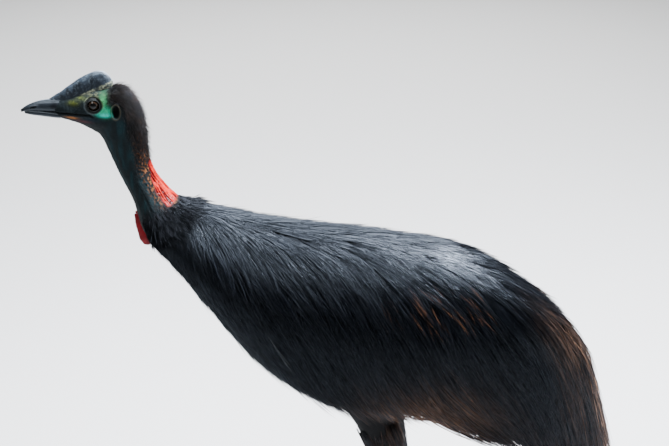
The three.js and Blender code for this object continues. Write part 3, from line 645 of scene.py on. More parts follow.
def sculpt_head(points, out_way, u, angle):
    """The face's own relief and the fine folds of bare skin."""
    x, y, z = points.T
    push = sum(height * blob(points, *place) for height, *place in FACE_RELIEF)
    mouth = smoothstep(x, -480, -472) * (1 - smoothstep(x, -407, -402)) * smoothstep(np.abs(y), 2, 6)
    push += mouth * ridges(z - mouth_line(x), LIPS)
    bare = 1 - smoothstep(u, NECK_BASE, NECK_BASE + 0.6)
    push += bare * (0.28 * noise(points, 3.2, 1) + 0.16 * noise(points, 1.5, 2))
    neck = smoothstep(u, FACE_END, FACE_END + 1.5)
    push += (1 - neck) * 0.5 * (fold_height(points, 7.0, 4, (1.0, 1.0, 0.55)) - 0.6)
    turn = np.stack([angle * 16, np.zeros_like(u), u * 1.1], 1) + 0.9 * noise(points, 22, 5)[:, None]
    push += neck * bare * 1.1 * (fold_height(turn, 2.4, 6) - 0.6)
    red = red_share(u, angle)
    push += red * 3.6 * (red_folds(points, u, angle) - 0.62)
    push += red * 0.8 * (fold_height(points, 4.5, 9) - 0.5)
    return points + out_way * push[:, None]


def ring_places():
    """Where the skin's rings lie, closely over the face and wide apart under the coat."""
    coat_start = NECK_BASE + 0.6
    face = np.linspace(0, FACE_END, SKIN_RINGS["face"], endpoint=False)
    neck = np.linspace(FACE_END, coat_start, SKIN_RINGS["neck"], endpoint=False)
    return np.concatenate([face, neck, np.linspace(coat_start, skin_form.last, SKIN_RINGS["body"])])


def long_skin():
    """The skin from the face to the rump, drawn in under the coat."""
    places = ring_places()
    u = np.repeat(places, SKIN_SIDES)
    angle = ring_angles(len(places), SKIN_SIDES, 0.5)
    coat = smoothstep(u, NECK_BASE, NECK_BASE + 1.0)
    inset = coat * (core_inset(u - NECK_BASE) + 1.5)
    points = skin_form.points(u, angle, inset)
    points = sculpt_head(points, skin_form.outward(u, angle, inset), u, angle)
    for side in (-1, 1):
        points = shape_ear(shape_eye(points, side), side)
    return make_object("skin", *close_tube(points, len(places), SKIN_SIDES))


def wattle(side):
    start = np.array([WATTLE["top"][0], side * WATTLE["top_y"], WATTLE["top"][1]])
    end = np.array([WATTLE["tip"][0], side * WATTLE["tip_y"], WATTLE["tip"][1]])
    t = np.linspace(0, 1, 40)
    radii = np.interp(t, WATTLE_STOPS, WATTLE_SHARES) * WATTLE["wide"]
    obj = tube("wattle", start + (end - start) * t[:, None], radii, 40, WATTLE["thick"] / WATTLE["wide"])
    points = points_of(obj)
    push = 0.9 * (fold_height(points, 5.0, 12, (1, 1, 0.6)) - 0.5)
    along = dot(points - start, end - start) / np.sum((end - start) ** 2)
    middle = start + (end - start) * np.clip(along, 0, 1)
    move_points(obj, points + unit(points - middle) * push[:, None])
    return obj


def wattle_place(points):
    """Share of the wattles' length, distance behind their middle line, and share of their width there."""
    start, end = np.array(WATTLE["top"]), np.array(WATTLE["tip"])
    length = np.linalg.norm(end - start)
    along = (end - start) / length
    flat = points[..., [0, 2]] - start
    t = flat @ along / length
    behind = flat[..., 1] * along[0] - flat[..., 0] * along[1]
    return t, behind, np.interp(t, WATTLE_STOPS, WATTLE_SHARES)


def over_wattle(centres):
    """Which strands would hide the wattles."""
    share, behind, _ = wattle_place(centres)
    return ((share > -0.1) & (share < 1.3) & (behind < WATTLE["clear"])).any(axis=1)


def leg_points(leg, names):
    """The leg's named joints, with the hip nearer the middle than the rest."""
    rows = [(leg[name][0], leg["side"] * (LEG_Y - HIP_IN * (name == "hip")), leg[name][1]) for name in names]
    return np.array(rows, float)


def thigh_line(leg, t):
    """The middle of the feathered part of a leg and its two half sizes."""
    place = np.asarray(t) * 2
    return catmull(leg_points(leg, ["hip", "mid", "bare"]), place), catmull(THIGH_SIZES, place)


def toe_ways(toe, leg):
    """The way a toe points, and the way across it."""
    turn = math.radians(toe["turn"]) * -leg["side"]
    way = np.array([-math.cos(turn), math.sin(turn), 0.0])
    return way, np.cross((0, 0, 1), way)


def toe_scale(toe):
    return (toe["wide"] / TOES["middle"]["wide"]) ** 0.5


def toe_flesh(toe, leg):
    """A toe: a thin tube whose points are then spread to its half width and half height."""
    foot = leg_points(leg, ["foot"])[0]
    way, across = toe_ways(toe, leg)
    stops = np.linspace(TOE_STOPS[0], 1, 90)
    high = np.interp(stops, TOE_STOPS, TOE_HIGH) * toe_scale(toe)
    wide = np.interp(stops, TOE_STOPS, TOE_WIDE) * toe["wide"]
    centres = foot + way * (toe["long"] * stops)[:, None]
    centres[:, 2] = high * 0.675
    made = tube("toe", centres, np.ones(len(stops)), 36, 1.0, across)
    points = points_of(made)
    along = np.clip(dot(points - foot, way)[:, 0] / toe["long"], stops[0], 1)
    middle = foot + way * (along * toe["long"])[:, None]
    middle[:, 2] = np.interp(along, stops, centres[:, 2])
    off = points - middle
    off -= way * dot(off, way)
    side = dot(off, across)
    rise = off[:, 2:]
    spread = across * side * np.interp(along, stops, wide)[:, None]
    placed = middle + spread + np.array([0, 0, 1.0]) * rise * np.interp(along, stops, high)[:, None]
    on_end = (np.abs(side) + np.abs(rise))[:, 0] < 1e-6
    placed[on_end] = points[on_end]
    move_points(made, placed)
    return made


def leg_flesh(leg):
    """The bare and feathered parts of a leg, as one closed mesh with the foot."""
    t = np.linspace(0.1, 1, 40)
    line, sizes = thigh_line(leg, t)
    made = tube("thigh", line, sizes.mean(1) * np.interp(t, [0, 0.7, 1], [0.72, 0.72, 0.82]), 32)
    bare, hock, foot = leg_points(leg, ["bare", "hock", "foot"])
    stops = [bare + (bare - hock) * 0.4, bare, bare + (hock - bare) * 0.55, hock]
    stops += [hock + (foot - hock) * share for share in SHIN_STOPS]
    places = np.linspace(0, len(stops) - 1, 150)
    radii = catmull(np.array(SHIN_RADII)[:, None], places)[:, 0]
    others = [tube("shin", catmull(stops, places), radii, 40, SHIN_FLATTEN)]
    turn = np.linspace(0, np.pi, 24)
    ball = np.array([foot[0], foot[1], PAD[2] * 0.45])
    pad_line = ball + np.stack([-np.cos(turn) * PAD[0], 0 * turn, 0 * turn], 1)
    others.append(tube("pad", pad_line, np.sin(turn) * PAD[1] * 0.97 + 0.2, 40, PAD[2] / PAD[1]))
    others += [toe_flesh(toe, leg) for toe in TOES.values()]
    for other in others:
        unite(made, other)
    return made


def plates(along, scute):
    """The height of a row of plates, each of which slopes up along its face and drops at its edge."""
    step = (along / scute["long"]) % 1
    rise = np.where(step < scute["face"], step / scute["face"], (1 - step) / (1 - scute["face"]))
    return scute["high"] * rise - scute["sink"]


def scute_relief(points, leg):
    """Raised plates down the front of the shank and over the toes, and small scales elsewhere."""
    z = points[:, 2]
    hock, foot = leg_points(leg, ["hock", "foot"])
    way = unit(foot - hock)
    along = dot(points - hock, way)[:, 0]
    on_shank = smoothstep(along, -60, -40) * (z > 34)
    off = points - hock - way * along[:, None]
    front = 1 - smoothstep(np.abs(np.arctan2(off[:, 1], -off[:, 0])), 0.75, 1.0)
    scales = 0.55 * np.abs(noise(points, 4.2, 21))
    push = on_shank * (front * plates(along, SHANK_SCUTE) + (1 - front) * scales)
    for toe in TOES.values():
        toe_way, across = toe_ways(toe, leg)
        t = dot(points - foot, toe_way)[:, 0]
        miss = np.abs(dot(points - foot, across)[:, 0])
        on_toe = (t > 24) & (t < toe["long"] - 2) & (miss < toe["wide"]) & (z > 9) & (z < 34)
        push += np.where(on_toe, plates(t, TOE_SCUTE), 0)
    return push + np.where((z < 9) & (z > 1.5), 0.7 * np.abs(noise(points, 3.0, 22)), 0)


def make_leg(leg):
    made = leg_flesh(leg)
    apply_modifier(made, "REMESH", mode="VOXEL", voxel_size=LEG_VOXEL * MM)
    apply_modifier(made, "SMOOTH", factor=0.5, iterations=3)
    points = points_of(made)
    normals = np.empty(len(points) * 3, np.float32)
    made.data.vertices.foreach_get("normal", normals)
    points = points + normals.reshape(-1, 3) * scute_relief(points, leg)[:, None]
    points[:, 2] = np.maximum(points[:, 2], 0.0)
    move_points(made, points)
    return made


def neck_colours(points, u, angle, red, fine):
    """Dark teal skin with a black nape, going rusty above the red folds, whose ridges get a painted highlight
    and whose grooves get painted shade.
    """
    streak = noise(points * np.array([1.0, 1.0, 0.25]), 4.5, 33)
    colour = mix(TEAL_BLACK, TEAL, 0.8 * smoothstep(streak, -0.4, 0.7) * smoothstep(u, 5.5, 8))
    nape = 1 - smoothstep(np.abs(angle), math.radians(40), math.radians(85))
    colour = mix(colour, NAPE_BLACK, nape * smoothstep(u, 3.5, 5.5))
    colour = mix(colour, RUST, nape * smoothstep(u, 8.0, 10.8) * smoothstep(fine, 0.0, 0.6) * 0.8)
    folds = red_folds(points, u, angle)
    colour = mix(colour, RED_SKIN, smoothstep(red, 0.25, 0.6))
    # Painted highlight on the red folds' ridges, then painted shade in their grooves
    colour = mix(colour, RED_RIDGE_HIGHLIGHT, smoothstep(red, 0.35, 0.8) * smoothstep(folds, 0.6, 0.95) * 0.9)
    return mix(colour, RED_GROOVE_SHADE, smoothstep(red, 0.2, 0.6) * (1 - smoothstep(folds, 0.3, 0.62)) * 0.9)


def face_colours(points, colour, fine):
    """The face's green and blue patches and the tones of lids and ear rims, with painted shade in the ear
    holes and along the mouth's line.
    """
    x, y, z = points.T
    side = smoothstep(np.abs(y), 6, 14)
    olive = np.clip(blob(points, -441, 1060.5, 9, 4.2) + 0.7 * blob(points, -427, 1069, 9, 3.6), 0, 1)
    colour = mix(colour, OLIVE, side * olive * (0.45 + 0.55 * smoothstep(fine, -0.5, 0.5)))
    brow = blob(points, -405, 1076, 20, 3.0) * smoothstep(fine, -0.4, 0.4)
    colour = mix(colour, BROW, side * brow * 0.8)
    for tone, place, strength, most in FACE_PATCHES:
        colour = mix(colour, tone, side * np.clip(strength * blob(points, *place), 0, 1) * most)
    here = np.abs(y) > MIDDLE_STRIP
    e = spot_share(points, EYE, LID)
    colour = mix(colour, [0.0025, 0.0035, 0.0035], here * (1 - smoothstep(e, 1.35, 1.7)))
    above = smoothstep(z - EYE["z"] + 0.35 * (x - EYE["x"]), -2, 5)
    colour = mix(colour, [0.055, 0.065, 0.036], here * above * bell(e, 1.62, 0.08) * 0.8)
    colour = mix(colour, [0.010, 0.012, 0.010], here * bell(e, 1.03, 0.04) * 0.5)
    e = spot_share(points, EAR, EAR)
    colour = mix(colour, [0.026, 0.022, 0.014], here * bell(e, 1.18, 0.11) * 0.8)
    # Painted shade in the ear holes
    colour = mix(colour, [0.0015, 0.002, 0.002], here * (1 - smoothstep(e, 0.75, 1.02)))
    # Painted shade along the mouth's line
    mouth = smoothstep(x, -476, -470) * (1 - smoothstep(x, -408, -403)) * side
    gap = np.abs(z - mouth_line(x))
    return mix(colour, [0.0015, 0.0015, 0.0015], mouth * (1 - smoothstep(gap, 0.5, 1.3)))


def leg_colours(points):
    """Horny grey scales, going black towards the plumage."""
    pale = mix((0.105, 0.098, 0.082), (0.05, 0.048, 0.042), smoothstep(noise(points, 7, 41), -0.3, 0.6))
    pale = mix(pale, (0.15, 0.14, 0.12), smoothstep(noise(points, 2.6, 42), 0.3, 0.9) * 0.5)
    return mix(pale, (0.006, 0.006, 0.006), smoothstep(points[:, 2], 300, 350))


def skin_colours(points):
    """The skin's colour and roughness at each point."""
    u = skin_form.place_of(points)
    angle = skin_form.angle_of(points, u)
    n = noise(points, 9, 31)
    fine = noise(points, 2.2, 32)
    red = red_share(u, angle + 0.10 * n)
    colour = face_colours(points, neck_colours(points, u, angle, red, fine), fine)
    low_neck = smoothstep(u, NECK_BASE - 1.6, NECK_BASE) * (1 - smoothstep(red, 0.1, 0.5))
    colour = mix(colour, [0.0025, 0.0026, 0.0032], low_neck * (points[:, 2] > 330))
    t, behind, half = wattle_place(points)
    middle_y = WATTLE["top_y"] + (WATTLE["tip_y"] - WATTLE["top_y"]) * t
    deep = (np.abs(points[:, 1]) - middle_y) / (WATTLE["thick"] * half)
    on_wattle = (np.hypot(deep, behind / (WATTLE["wide"] * half)) < 1.3) & (t > -0.15) & (t < 1.1)
    colour[on_wattle] = np.array(RED_WATTLE) * (0.85 + 0.3 * n[on_wattle, None])
    roughness = np.where(on_wattle, 0.4, 0.8 - 0.6 * smoothstep(red, 0.4, 0.7))
    on_leg = points[:, 2] < 352
    colour[on_leg] = leg_colours(points)[on_leg]
    return colour, roughness


def make_skin():
    skin = long_skin()
    for side in (-1, 1):
        unite(skin, wattle(side))
    for leg in LEGS.values():
        unite(skin, make_leg(leg))
    paint(skin, *skin_colours(points_of(skin)))
    nodes = ["head", "neck", "torso", "tail"]
    for side in LEGS:
        nodes += [f"{part}_{side}" for part in ("ear", "wattle", "thigh", "shank")]
        nodes += [f"toe_{toe}_{side}" for toe in TOES]
    finish_piece(skin, skin_material(), nodes)


# Eyes, bill, casque and claws


def make_eyes():
    look = eye_material()
    rings, sides = 46, 56
    t = np.linspace(0, np.pi, rings + 2)[1:-1]
    turn = 2 * np.pi * np.arange(sides) / sides
    radius = EYE["radius"] + EYE["bulge"] * (1 - smoothstep(t, 0.35, 0.62))
    reach = np.sin(t) * radius
    for name, leg in LEGS.items():
        side = leg["side"]
        centre = np.array([EYE["x"], side * EYE["y"], EYE["z"]])
        height = side * np.repeat((np.cos(t) * radius)[:, None], sides, 1)
        out = np.stack([np.outer(reach, np.cos(turn)), height, np.outer(reach, np.sin(turn))], -1)
        points, tris = close_tube(out.reshape(-1, 3) + centre, rings, sides)
        eye = make_object(f"eyeball_{name}", points, tris[:, ::-side])
        off = np.hypot(points[:, 0] - centre[0], points[:, 2] - centre[2])
        grain = noise(points * np.array([1, 0.2, 1]), 1.3, 51)
        colour = np.array([0.013, 0.007, 0.004]) * (1 + 0.45 * grain)[:, None]
        colour = mix(colour, [0.001, 0.001, 0.001], 1 - smoothstep(off, 5.2, 5.9))
        colour = mix(colour, [0.003, 0.0025, 0.0025], smoothstep(off, 7.4, 8.6))
        colour[(points[:, 1] - centre[1]) * side <= 0] = (0.02, 0.015, 0.012)
        paint(eye, colour)
        finish_piece(eye, look, [f"eye_{name}"])


def form_surface(form, rings, sides, square, crown):
    """Points, outward ways, places and angles over a form, with rings closer at its ends."""
    ends = 0.5 - 0.5 * np.cos(np.linspace(0, np.pi, rings))
    u = np.repeat((0.4 * ends + 0.6 * np.linspace(0, 1, rings)) * form.last, sides)
    angle = ring_angles(rings, sides)
    out_way = form.outward(u, angle, 0, 0.5, square, crown)
    return form.points(u, angle, 0, square, crown), out_way, u, angle


def rim_share(points):
    """Where the pale rim lies, at which the casque's lower rear edge meets the crown."""
    front, rear = np.array([-427.0, 1069.0]), np.array([-376.0, 1092.0])
    way = unit(rear - front)
    flat = points[:, [0, 2]] - front
    over = flat[:, 1] * way[0] - flat[:, 0] * way[1]
    return (1 - smoothstep(over, 3.0, 5.0)) * smoothstep(points[:, 0], -436, -420)


def make_casque():
    form = Form(CASQUE)
    rings, sides = 150, 96
    points, out_way, u, angle = form_surface(form, rings, sides, 2.4, 0.42)
    push = 0.8 * noise(points, 14, 61) + 0.35 * noise(points, 5, 62)
    push -= 0.8 * np.clip(noise(points * np.array([0.6, 1, 1]), 6, 63) - 0.35, 0, 1)
    push += rim_share(points) * (0.3 + 1.1 * np.abs(noise(points, 2.0, 64)))
    push -= 0.35 * bell(np.abs(angle), 0.55, 0.08)
    both, tris = close_tube(points + out_way * push[:, None], rings, sides)
    casque = make_object("casque_horn", both, tris)
    fine = noise(both * np.array([0.5, 1, 1]), 1.8, 66)
    scuff = fold_height(both, 3.5, 67, (0.35, 1, 1.3))
    u = np.append(u, [0, form.last])
    angle = np.append(angle, [0, 0])
    # The casque lightens towards its top as painted highlight, which also strengthens the scuffs and wear
    # there
    crest_highlight = smoothstep(both[:, 2] - 0.62 * (both[:, 0] + 484), 1046, 1064)
    colour = mix(HORN_BLACK, [0.019, 0.027, 0.038], 0.15 + 0.85 * crest_highlight)
    colour = mix(colour, HORN_BLACK, smoothstep(noise(both, 6, 65), -0.2, 0.3) * 0.92)
    colour = mix(colour, [0.10, 0.13, 0.155], smoothstep(scuff, 0.88, 0.99) * 0.5 * (0.3 + 0.7 * crest_highlight))
    colour = mix(colour, HORN_WORN_AND_HIGHLIGHT, smoothstep(fine, 0.5, 0.9) * 0.5 * crest_highlight)
    # A pale band along the top rear is painted highlight
    top = 1 - smoothstep(np.abs(angle), 0.25, 0.6)
    colour = mix(colour, HORN_WORN_AND_HIGHLIGHT, top * smoothstep(u, 3.6, 5.0) * 0.6)
    colour = mix(colour, [0.16, 0.17, 0.115], rim_share(both) * (0.12 + 0.88 * smoothstep(fine, -0.15, 0.35)))
    paint(casque, colour)
    finish_piece(casque, horn_material("casque_look", 260.0, 0.28, 0.62, 0.5), ["casque"])


def nostril_share(points):
    dx = points[:, 0] - NOSTRIL["x"]
    dz = points[:, 2] - NOSTRIL["z"] - dx * math.sin(NOSTRIL["lean"])
    return np.hypot(dx / NOSTRIL["long"], dz / NOSTRIL["high"])


def make_bill():
    look = horn_material("bill_look", 420.0, 0.22, 0.42, 0.25)
    rings, sides = 120, 72
    for half, table in (("upper", UPPER_BILL), ("lower", LOWER_BILL)):
        upper = half == "upper"
        points, out_way, _, angle = form_surface(Form(table), rings, sides, 2.2, 0.35 if upper else 0.0)
        push = 0.12 * noise(points * np.array([0.5, 1, 1]), 3, 71)
        on_side = np.abs(np.sin(angle)) > 0.4
        if upper:
            e = nostril_share(points)
            hole = NOSTRIL["deep"] * np.sqrt(np.clip(1 - e**2, 0, 1))
            push += np.where(on_side, 0.5 * bell(e, 1.35, 0.3) - hole, 0)
            push += 0.5 * bell(angle, 0, 0.35) - 0.35 * bell(np.abs(angle), 0.75, 0.2)
        both, tris = close_tube(points + out_way * push[:, None], rings, sides)
        bill = make_object(f"{half}_bill", both, tris)
        worn = smoothstep(noise(both * np.array([0.4, 1, 1]), 5, 72), -0.2, 0.6)
        colour = mix([0.008, 0.010, 0.013], [0.0025, 0.003, 0.004], worn)
        if upper:
            # A pale blue painted highlight along the culmen, strongest at its rear
            rear = smoothstep(both[:, 0], -512, -486)
            culmen_highlight = bell(np.append(angle, [0, 0]), 0, 0.22)
            colour = mix(colour, [0.15, 0.18, 0.21], culmen_highlight * (0.25 + 0.6 * rear))
            # Painted shade in the nostrils
            colour[np.append((e < 0.9) & on_side, [False, False])] = (0.002, 0.002, 0.002)
        paint(bill, colour)
        finish_piece(bill, look, [f"bill_{half}"])


def make_claws():
    t = np.linspace(CLAW_STOPS[0], 1, 40)
    claws = []
    nodes = []
    for leg_name, leg in LEGS.items():
        foot = leg_points(leg, ["foot"])[0]
        for toe_name, toe in TOES.items():
            way, across = toe_ways(toe, leg)
            share = np.interp(t, CLAW_STOPS, CLAW_SHARES) * toe["claw_wide"]
            line = foot + way * (toe["long"] + toe["claw"] * t)[:, None]
            height = 8.4 * toe_scale(toe) + toe["claw"] * (0.1 * t - 0.16 * t * t)
            line[:, 2] = np.maximum(height, share * 0.86 + 0.6)
            claws.append(tube("claw", line, share, 24, 0.86, across))
            nodes.append(f"claw_{toe_name}_{leg_name}")
    made = join_objects(claws, "claws")
    worn = smoothstep(noise(points_of(made), 6, 81), -0.3, 0.5)
    paint(made, mix([0.03, 0.028, 0.025], [0.010, 0.009, 0.009], worn))
    finish_piece(made, horn_material("claw_look", 300.0, 0.22, 0.45, 0.3), nodes)


def to_outline(points, height):
    """Moves points to a height over the body's outline."""
    u = body_form.place_of(points)
    centre = body_form.slices(u)[0]
    return centre + (points - centre) / body_form.share_of(points, u, -height)[:, None]


def make_quills():
    t = np.linspace(0, 1, 24)[:, None]
    radius = QUILL["base"] + (QUILL["tip"] - QUILL["base"]) * t[:, 0]
    way = unit(np.array(WING["way"]))
    quills = []
    for side in (-1, 1):
        root = body_form.points(np.array([WING["u"]]), np.array([side * math.radians(WING["angle"])]))[0]
        across = unit(np.cross(way, (0, side, 0)))
        for k in range(QUILL["count"]):
            spread = (k - (QUILL["count"] - 1) / 2) / QUILL["count"]
            length = QUILL["long"] * (1 - QUILL["shorter"] * k)
            line = root + way * (WING["long"] * 0.72 + length * t) + np.array(QUILL["sag"]) * length * t**2
            line = line + across * (WING["high"] * 0.7 - QUILL["fan"] * t) * spread
            clear = smoothstep(t[:, 0], 0.1 + 0.06 * k, 0.75)
            height = -WING["under"] + (WING["over"] + WING["under"]) * clear
            quills.append(tube("quill", to_outline(line, height), radius, 10))
    made = join_objects(quills, "wing_quills")
    worn = smoothstep(noise(points_of(made), 10, 91), 0, 0.8)
    paint(made, mix([0.0015, 0.0015, 0.002], [0.003, 0.003, 0.003], worn))
    look = horn_material("quill_look", 500.0, 0.5, 0.7, 0.15)
    finish_piece(made, look, ["wing_left", "wing_right"])


# Coat


def lie_at(back, u, angle):
    """The lie of the plumage: backwards above and below, steeper on the flank, hanging at the rump."""
    under = smoothstep(np.abs(angle), math.radians(105), math.radians(155))
    rump = smoothstep(u, 9, 12)
    down = LIE["down"] * (1 - under) + LIE["under"] * under
    way = back.copy()
    way[:, 2] -= down * (1 - rump) + LIE["rump"] * rump
    return unit(way)


def feather_roots():
    """Slice and angle of each feather over the body, in staggered rows."""
    random = np.random.default_rng(FEATHERS["seed"])
    roots = []
    u = FEATHERS["first"]
    edges = np.array([0.0, math.pi])
    while u < FEATHERS["last"]:
        _, _, _, high, wide = body_form.slices(np.array([u]))
        scale = 0.6 + 0.4 * smoothstep(u, 0, 4) - FEATHERS["rump_closer"] * smoothstep(u, 9, 11)
        girth = math.pi * (high[0] + wide[0] - 2 * core_inset(u))
        count = max(6, round(girth / (FEATHERS["apart"] * scale)))
        turn = (np.arange(count) + (len(roots) % 2) / 2 + random.uniform(-0.3, 0.3, count)) / count
        angle = 2 * np.pi * (turn - np.floor(turn + 0.5))
        places = np.clip(u + random.uniform(-0.05, 0.05, count), 0.01, body_form.last)
        roots.append(np.stack([places, angle], 1))
        here, ahead = (body_form.points(np.full(2, place), edges) for place in (u, u + 0.05))
        u += FEATHERS["apart"] * scale / np.max(np.linalg.norm(ahead - here, axis=1) / 0.05)
    return np.concatenate(roots)


def face_at(u, angle):
    """The way out of the body at a place."""
    small = 0.05
    round_way = body_form.points(u, angle + small) - body_form.points(u, angle - small)
    along = body_form.points(u + small, angle) - body_form.points(u - small, angle)
    return unit(np.cross(along, round_way))


def hem_under(points):
    return np.interp(points[:, 0], *zip(*HEM)) + HEM_RISE * np.abs(points[:, 1])


def body_guides(roots, random):
    """The lines of all body feathers, followed step by step over the body down to the hem."""
    steps = FEATHERS["steps"]
    u, angle = roots.T
    length = np.interp(u, range(len(FEATHER_LENGTH)), FEATHER_LENGTH) * random.uniform(0.84, 1.14, len(u))
    at = body_form.points(u, angle, core_inset(u))
    face = face_at(u, angle)
    sway = SWAY["each"] * random.normal(0, 1, len(u)) + SWAY["together"] * noise(at, SWAY["scale"], 101)
    hem = random.uniform(-14, 10, len(u))
    alive = np.ones(len(u), bool)
    lines, faces = [at.copy()], [face.copy()]
    done = np.zeros(len(u))
    for step in range(1, steps):
        place = body_form.place_of(at)
        way = lie_at(body_form.slices(place)[2], place, body_form.angle_of(at, place))
        way = unit(way + np.cross(face, way) * np.tan(sway)[:, None])
        moved = at + way * (length / (steps - 1))[:, None]
        place = body_form.place_of(moved)
        centre = body_form.slices(place)[0]
        share = body_form.share_of(moved, place, core_inset(place) * (1 - (step / (steps - 1)) ** 0.8))
        inside = (share < 1) & (place < body_form.last - 0.02)
        pushed = centre + (moved - centre) / np.maximum(share, 1e-3)[:, None]
        moved = np.where(inside[:, None], pushed, moved)
        fresh = face_at(place, body_form.angle_of(moved, place))
        face = np.where(inside[:, None], unit(face * 0.5 + fresh * 0.5), face)
        alive &= moved[:, 2] > hem_under(moved) + hem
        at = np.where(alive[:, None], moved, at)
        done = np.where(alive, step, done)
        lines.append(at.copy())
        faces.append(face.copy())
    keep = done > 5
    return np.stack(lines, 1)[keep], np.stack(faces, 1)[keep], done[keep], u[keep], angle[keep]


def sample(lines, done, t):
    """Points at shares t of each line's used length. t has a row for each line."""
    place = t * done[:, None]
    i = np.minimum(place.astype(int), lines.shape[1] - 2)
    f = (place - i)[..., None]
    rows = np.arange(len(lines))[:, None]
    return lines[rows, i] * (1 - f) + lines[rows, i + 1] * f


def strand_points(centres, face, radii):
    """Three-sided rings round strand centres, and each strand's tip."""
    along = unit(np.gradient(centres, axis=1))
    across = unit(np.cross(along, face))
    flat = unit(np.cross(across, along))
    points = []
    for k in range(3):
        turn = 2 * np.pi * k / 3 + np.pi / 2
        out = across * math.cos(turn) + flat * math.sin(turn)
        points.append((centres + out * radii[..., None])[:, :-1])
    body = np.stack(points, 2).reshape(len(centres), -1, 3)
    return np.concatenate([body, centres[:, -1:]], 1)


def strand_faces(rings):
    faces = [(2, 1, 0)]
    for r in range(rings):
        for k in range(3):
            a, b = r * 3 + k, r * 3 + (k + 1) % 3
            faces += [(a, b, b + 3), (a, b + 3, a + 3)] if r < rings - 1 else [(a, b, rings * 3)]
    return np.array(faces)


def coat_pieces(name, strands, material):
    """Mesh pieces of many strands, each strand with a colour at each point and a patch of the bake map."""
    centres, face, radii, colours, patches, roughness = strands
    rings = centres.shape[1] - 1
    faces = strand_faces(rings)
    side = np.append(np.tile([0.0, 0.5, 1.0], rings), 0.5)
    along = np.append(np.repeat(np.linspace(0, 0.9, rings), 3), 1.0)
    spread = (np.stack([along, side], 1) - 0.5) * BAKE_PATCH
    for index, start in enumerate(range(0, len(centres), PIECE_STRANDS)):
        part = slice(start, start + PIECE_STRANDS)
        points = strand_points(centres[part], face[part], radii[part])
        count, each = points.shape[:2]
        tris = (faces[None] + (np.arange(count) * each)[:, None, None]).reshape(-1, 3)
        obj = make_object(f"{name}_{index + 1}", points.reshape(-1, 3), tris)
        rows = np.concatenate([np.repeat(colours[part][:, :rings], 3, axis=1), colours[part][:, rings:]], 1)
        paint(obj, rows.reshape(-1, 3), np.repeat(roughness[part], each))
        uv = (patches[part][:, None] + spread[None]).reshape(-1, 2)
        corner = np.empty(len(obj.data.loops), np.int32)
        obj.data.loops.foreach_get("vertex_index", corner)
        layer = obj.data.uv_layers.new(name="OFBake")
        layer.data.foreach_set("uv", uv[corner].astype(np.float32).ravel())
        finish_piece(obj, material)


def sometimes(random, chance, low, high, count):
    """A random amount for some of the strands, and 0 for the rest."""
    return np.where(random.uniform(0, 1, count) < chance, random.uniform(low, high, count), 0)


def plumage_colours(centres, shade, tawny_highlight, hue):
    """Blue-black, going brown low down and at the rump's edge, where the brown is lightened as painted
    highlight, with strand tips high on the flank painted orange-brown, partly as brown tips and partly as
    painted highlight.
    """
    x, z = centres[..., 0], centres[..., 2]
    low = 1 - smoothstep(z + 0.05 * x, 420, 610)
    hem = np.exp(-(((x - 170) / 110) ** 2) - ((z - 515) / 62) ** 2)
    rear = smoothstep(x + 0.25 * (z - 500), 365, 490)
    patch = smoothstep(noise(centres, 70, 111), -0.9, 0.5)
    t = np.linspace(0, 1, centres.shape[1])[None]
    share = np.clip((0.4 * low + 0.8 * rear) * patch + 0.9 * hem, 0, 1) * (0.35 + 0.65 * t)
    share = np.clip(share * (0.1 + 1.5 * hue[:, None] ** 1.5), 0, 1)[..., None]
    # Brown lightened along the hem, and at the rump's edge lightened further as painted highlight
    brown = COAT_BROWN * (1 + 1.2 * hem + 0.9 * rear * smoothstep(hue, 0.5, 0.9)[:, None])[..., None]
    colour = (COAT_BLACK * (1 - share) + brown * share) * shade[:, None, None]
    # A spot high on the flank where strand tips are painted orange-brown: partly brown tips, partly painted
    # highlight
    flank = np.exp(-(((x[:, -1:] - 205) / 90) ** 2) - ((z[:, -1:] - 705) / 32) ** 2)
    warm_highlight = tawny_highlight[:, None] * np.clip(1.6 * flank - 0.2, 0, 1) * smoothstep(t, 0.68, 0.88)
    warm_highlight = np.clip(warm_highlight, 0, 1)[..., None]
    return colour * (1 - warm_highlight) + COAT_TAWNY_HIGHLIGHT * warm_highlight


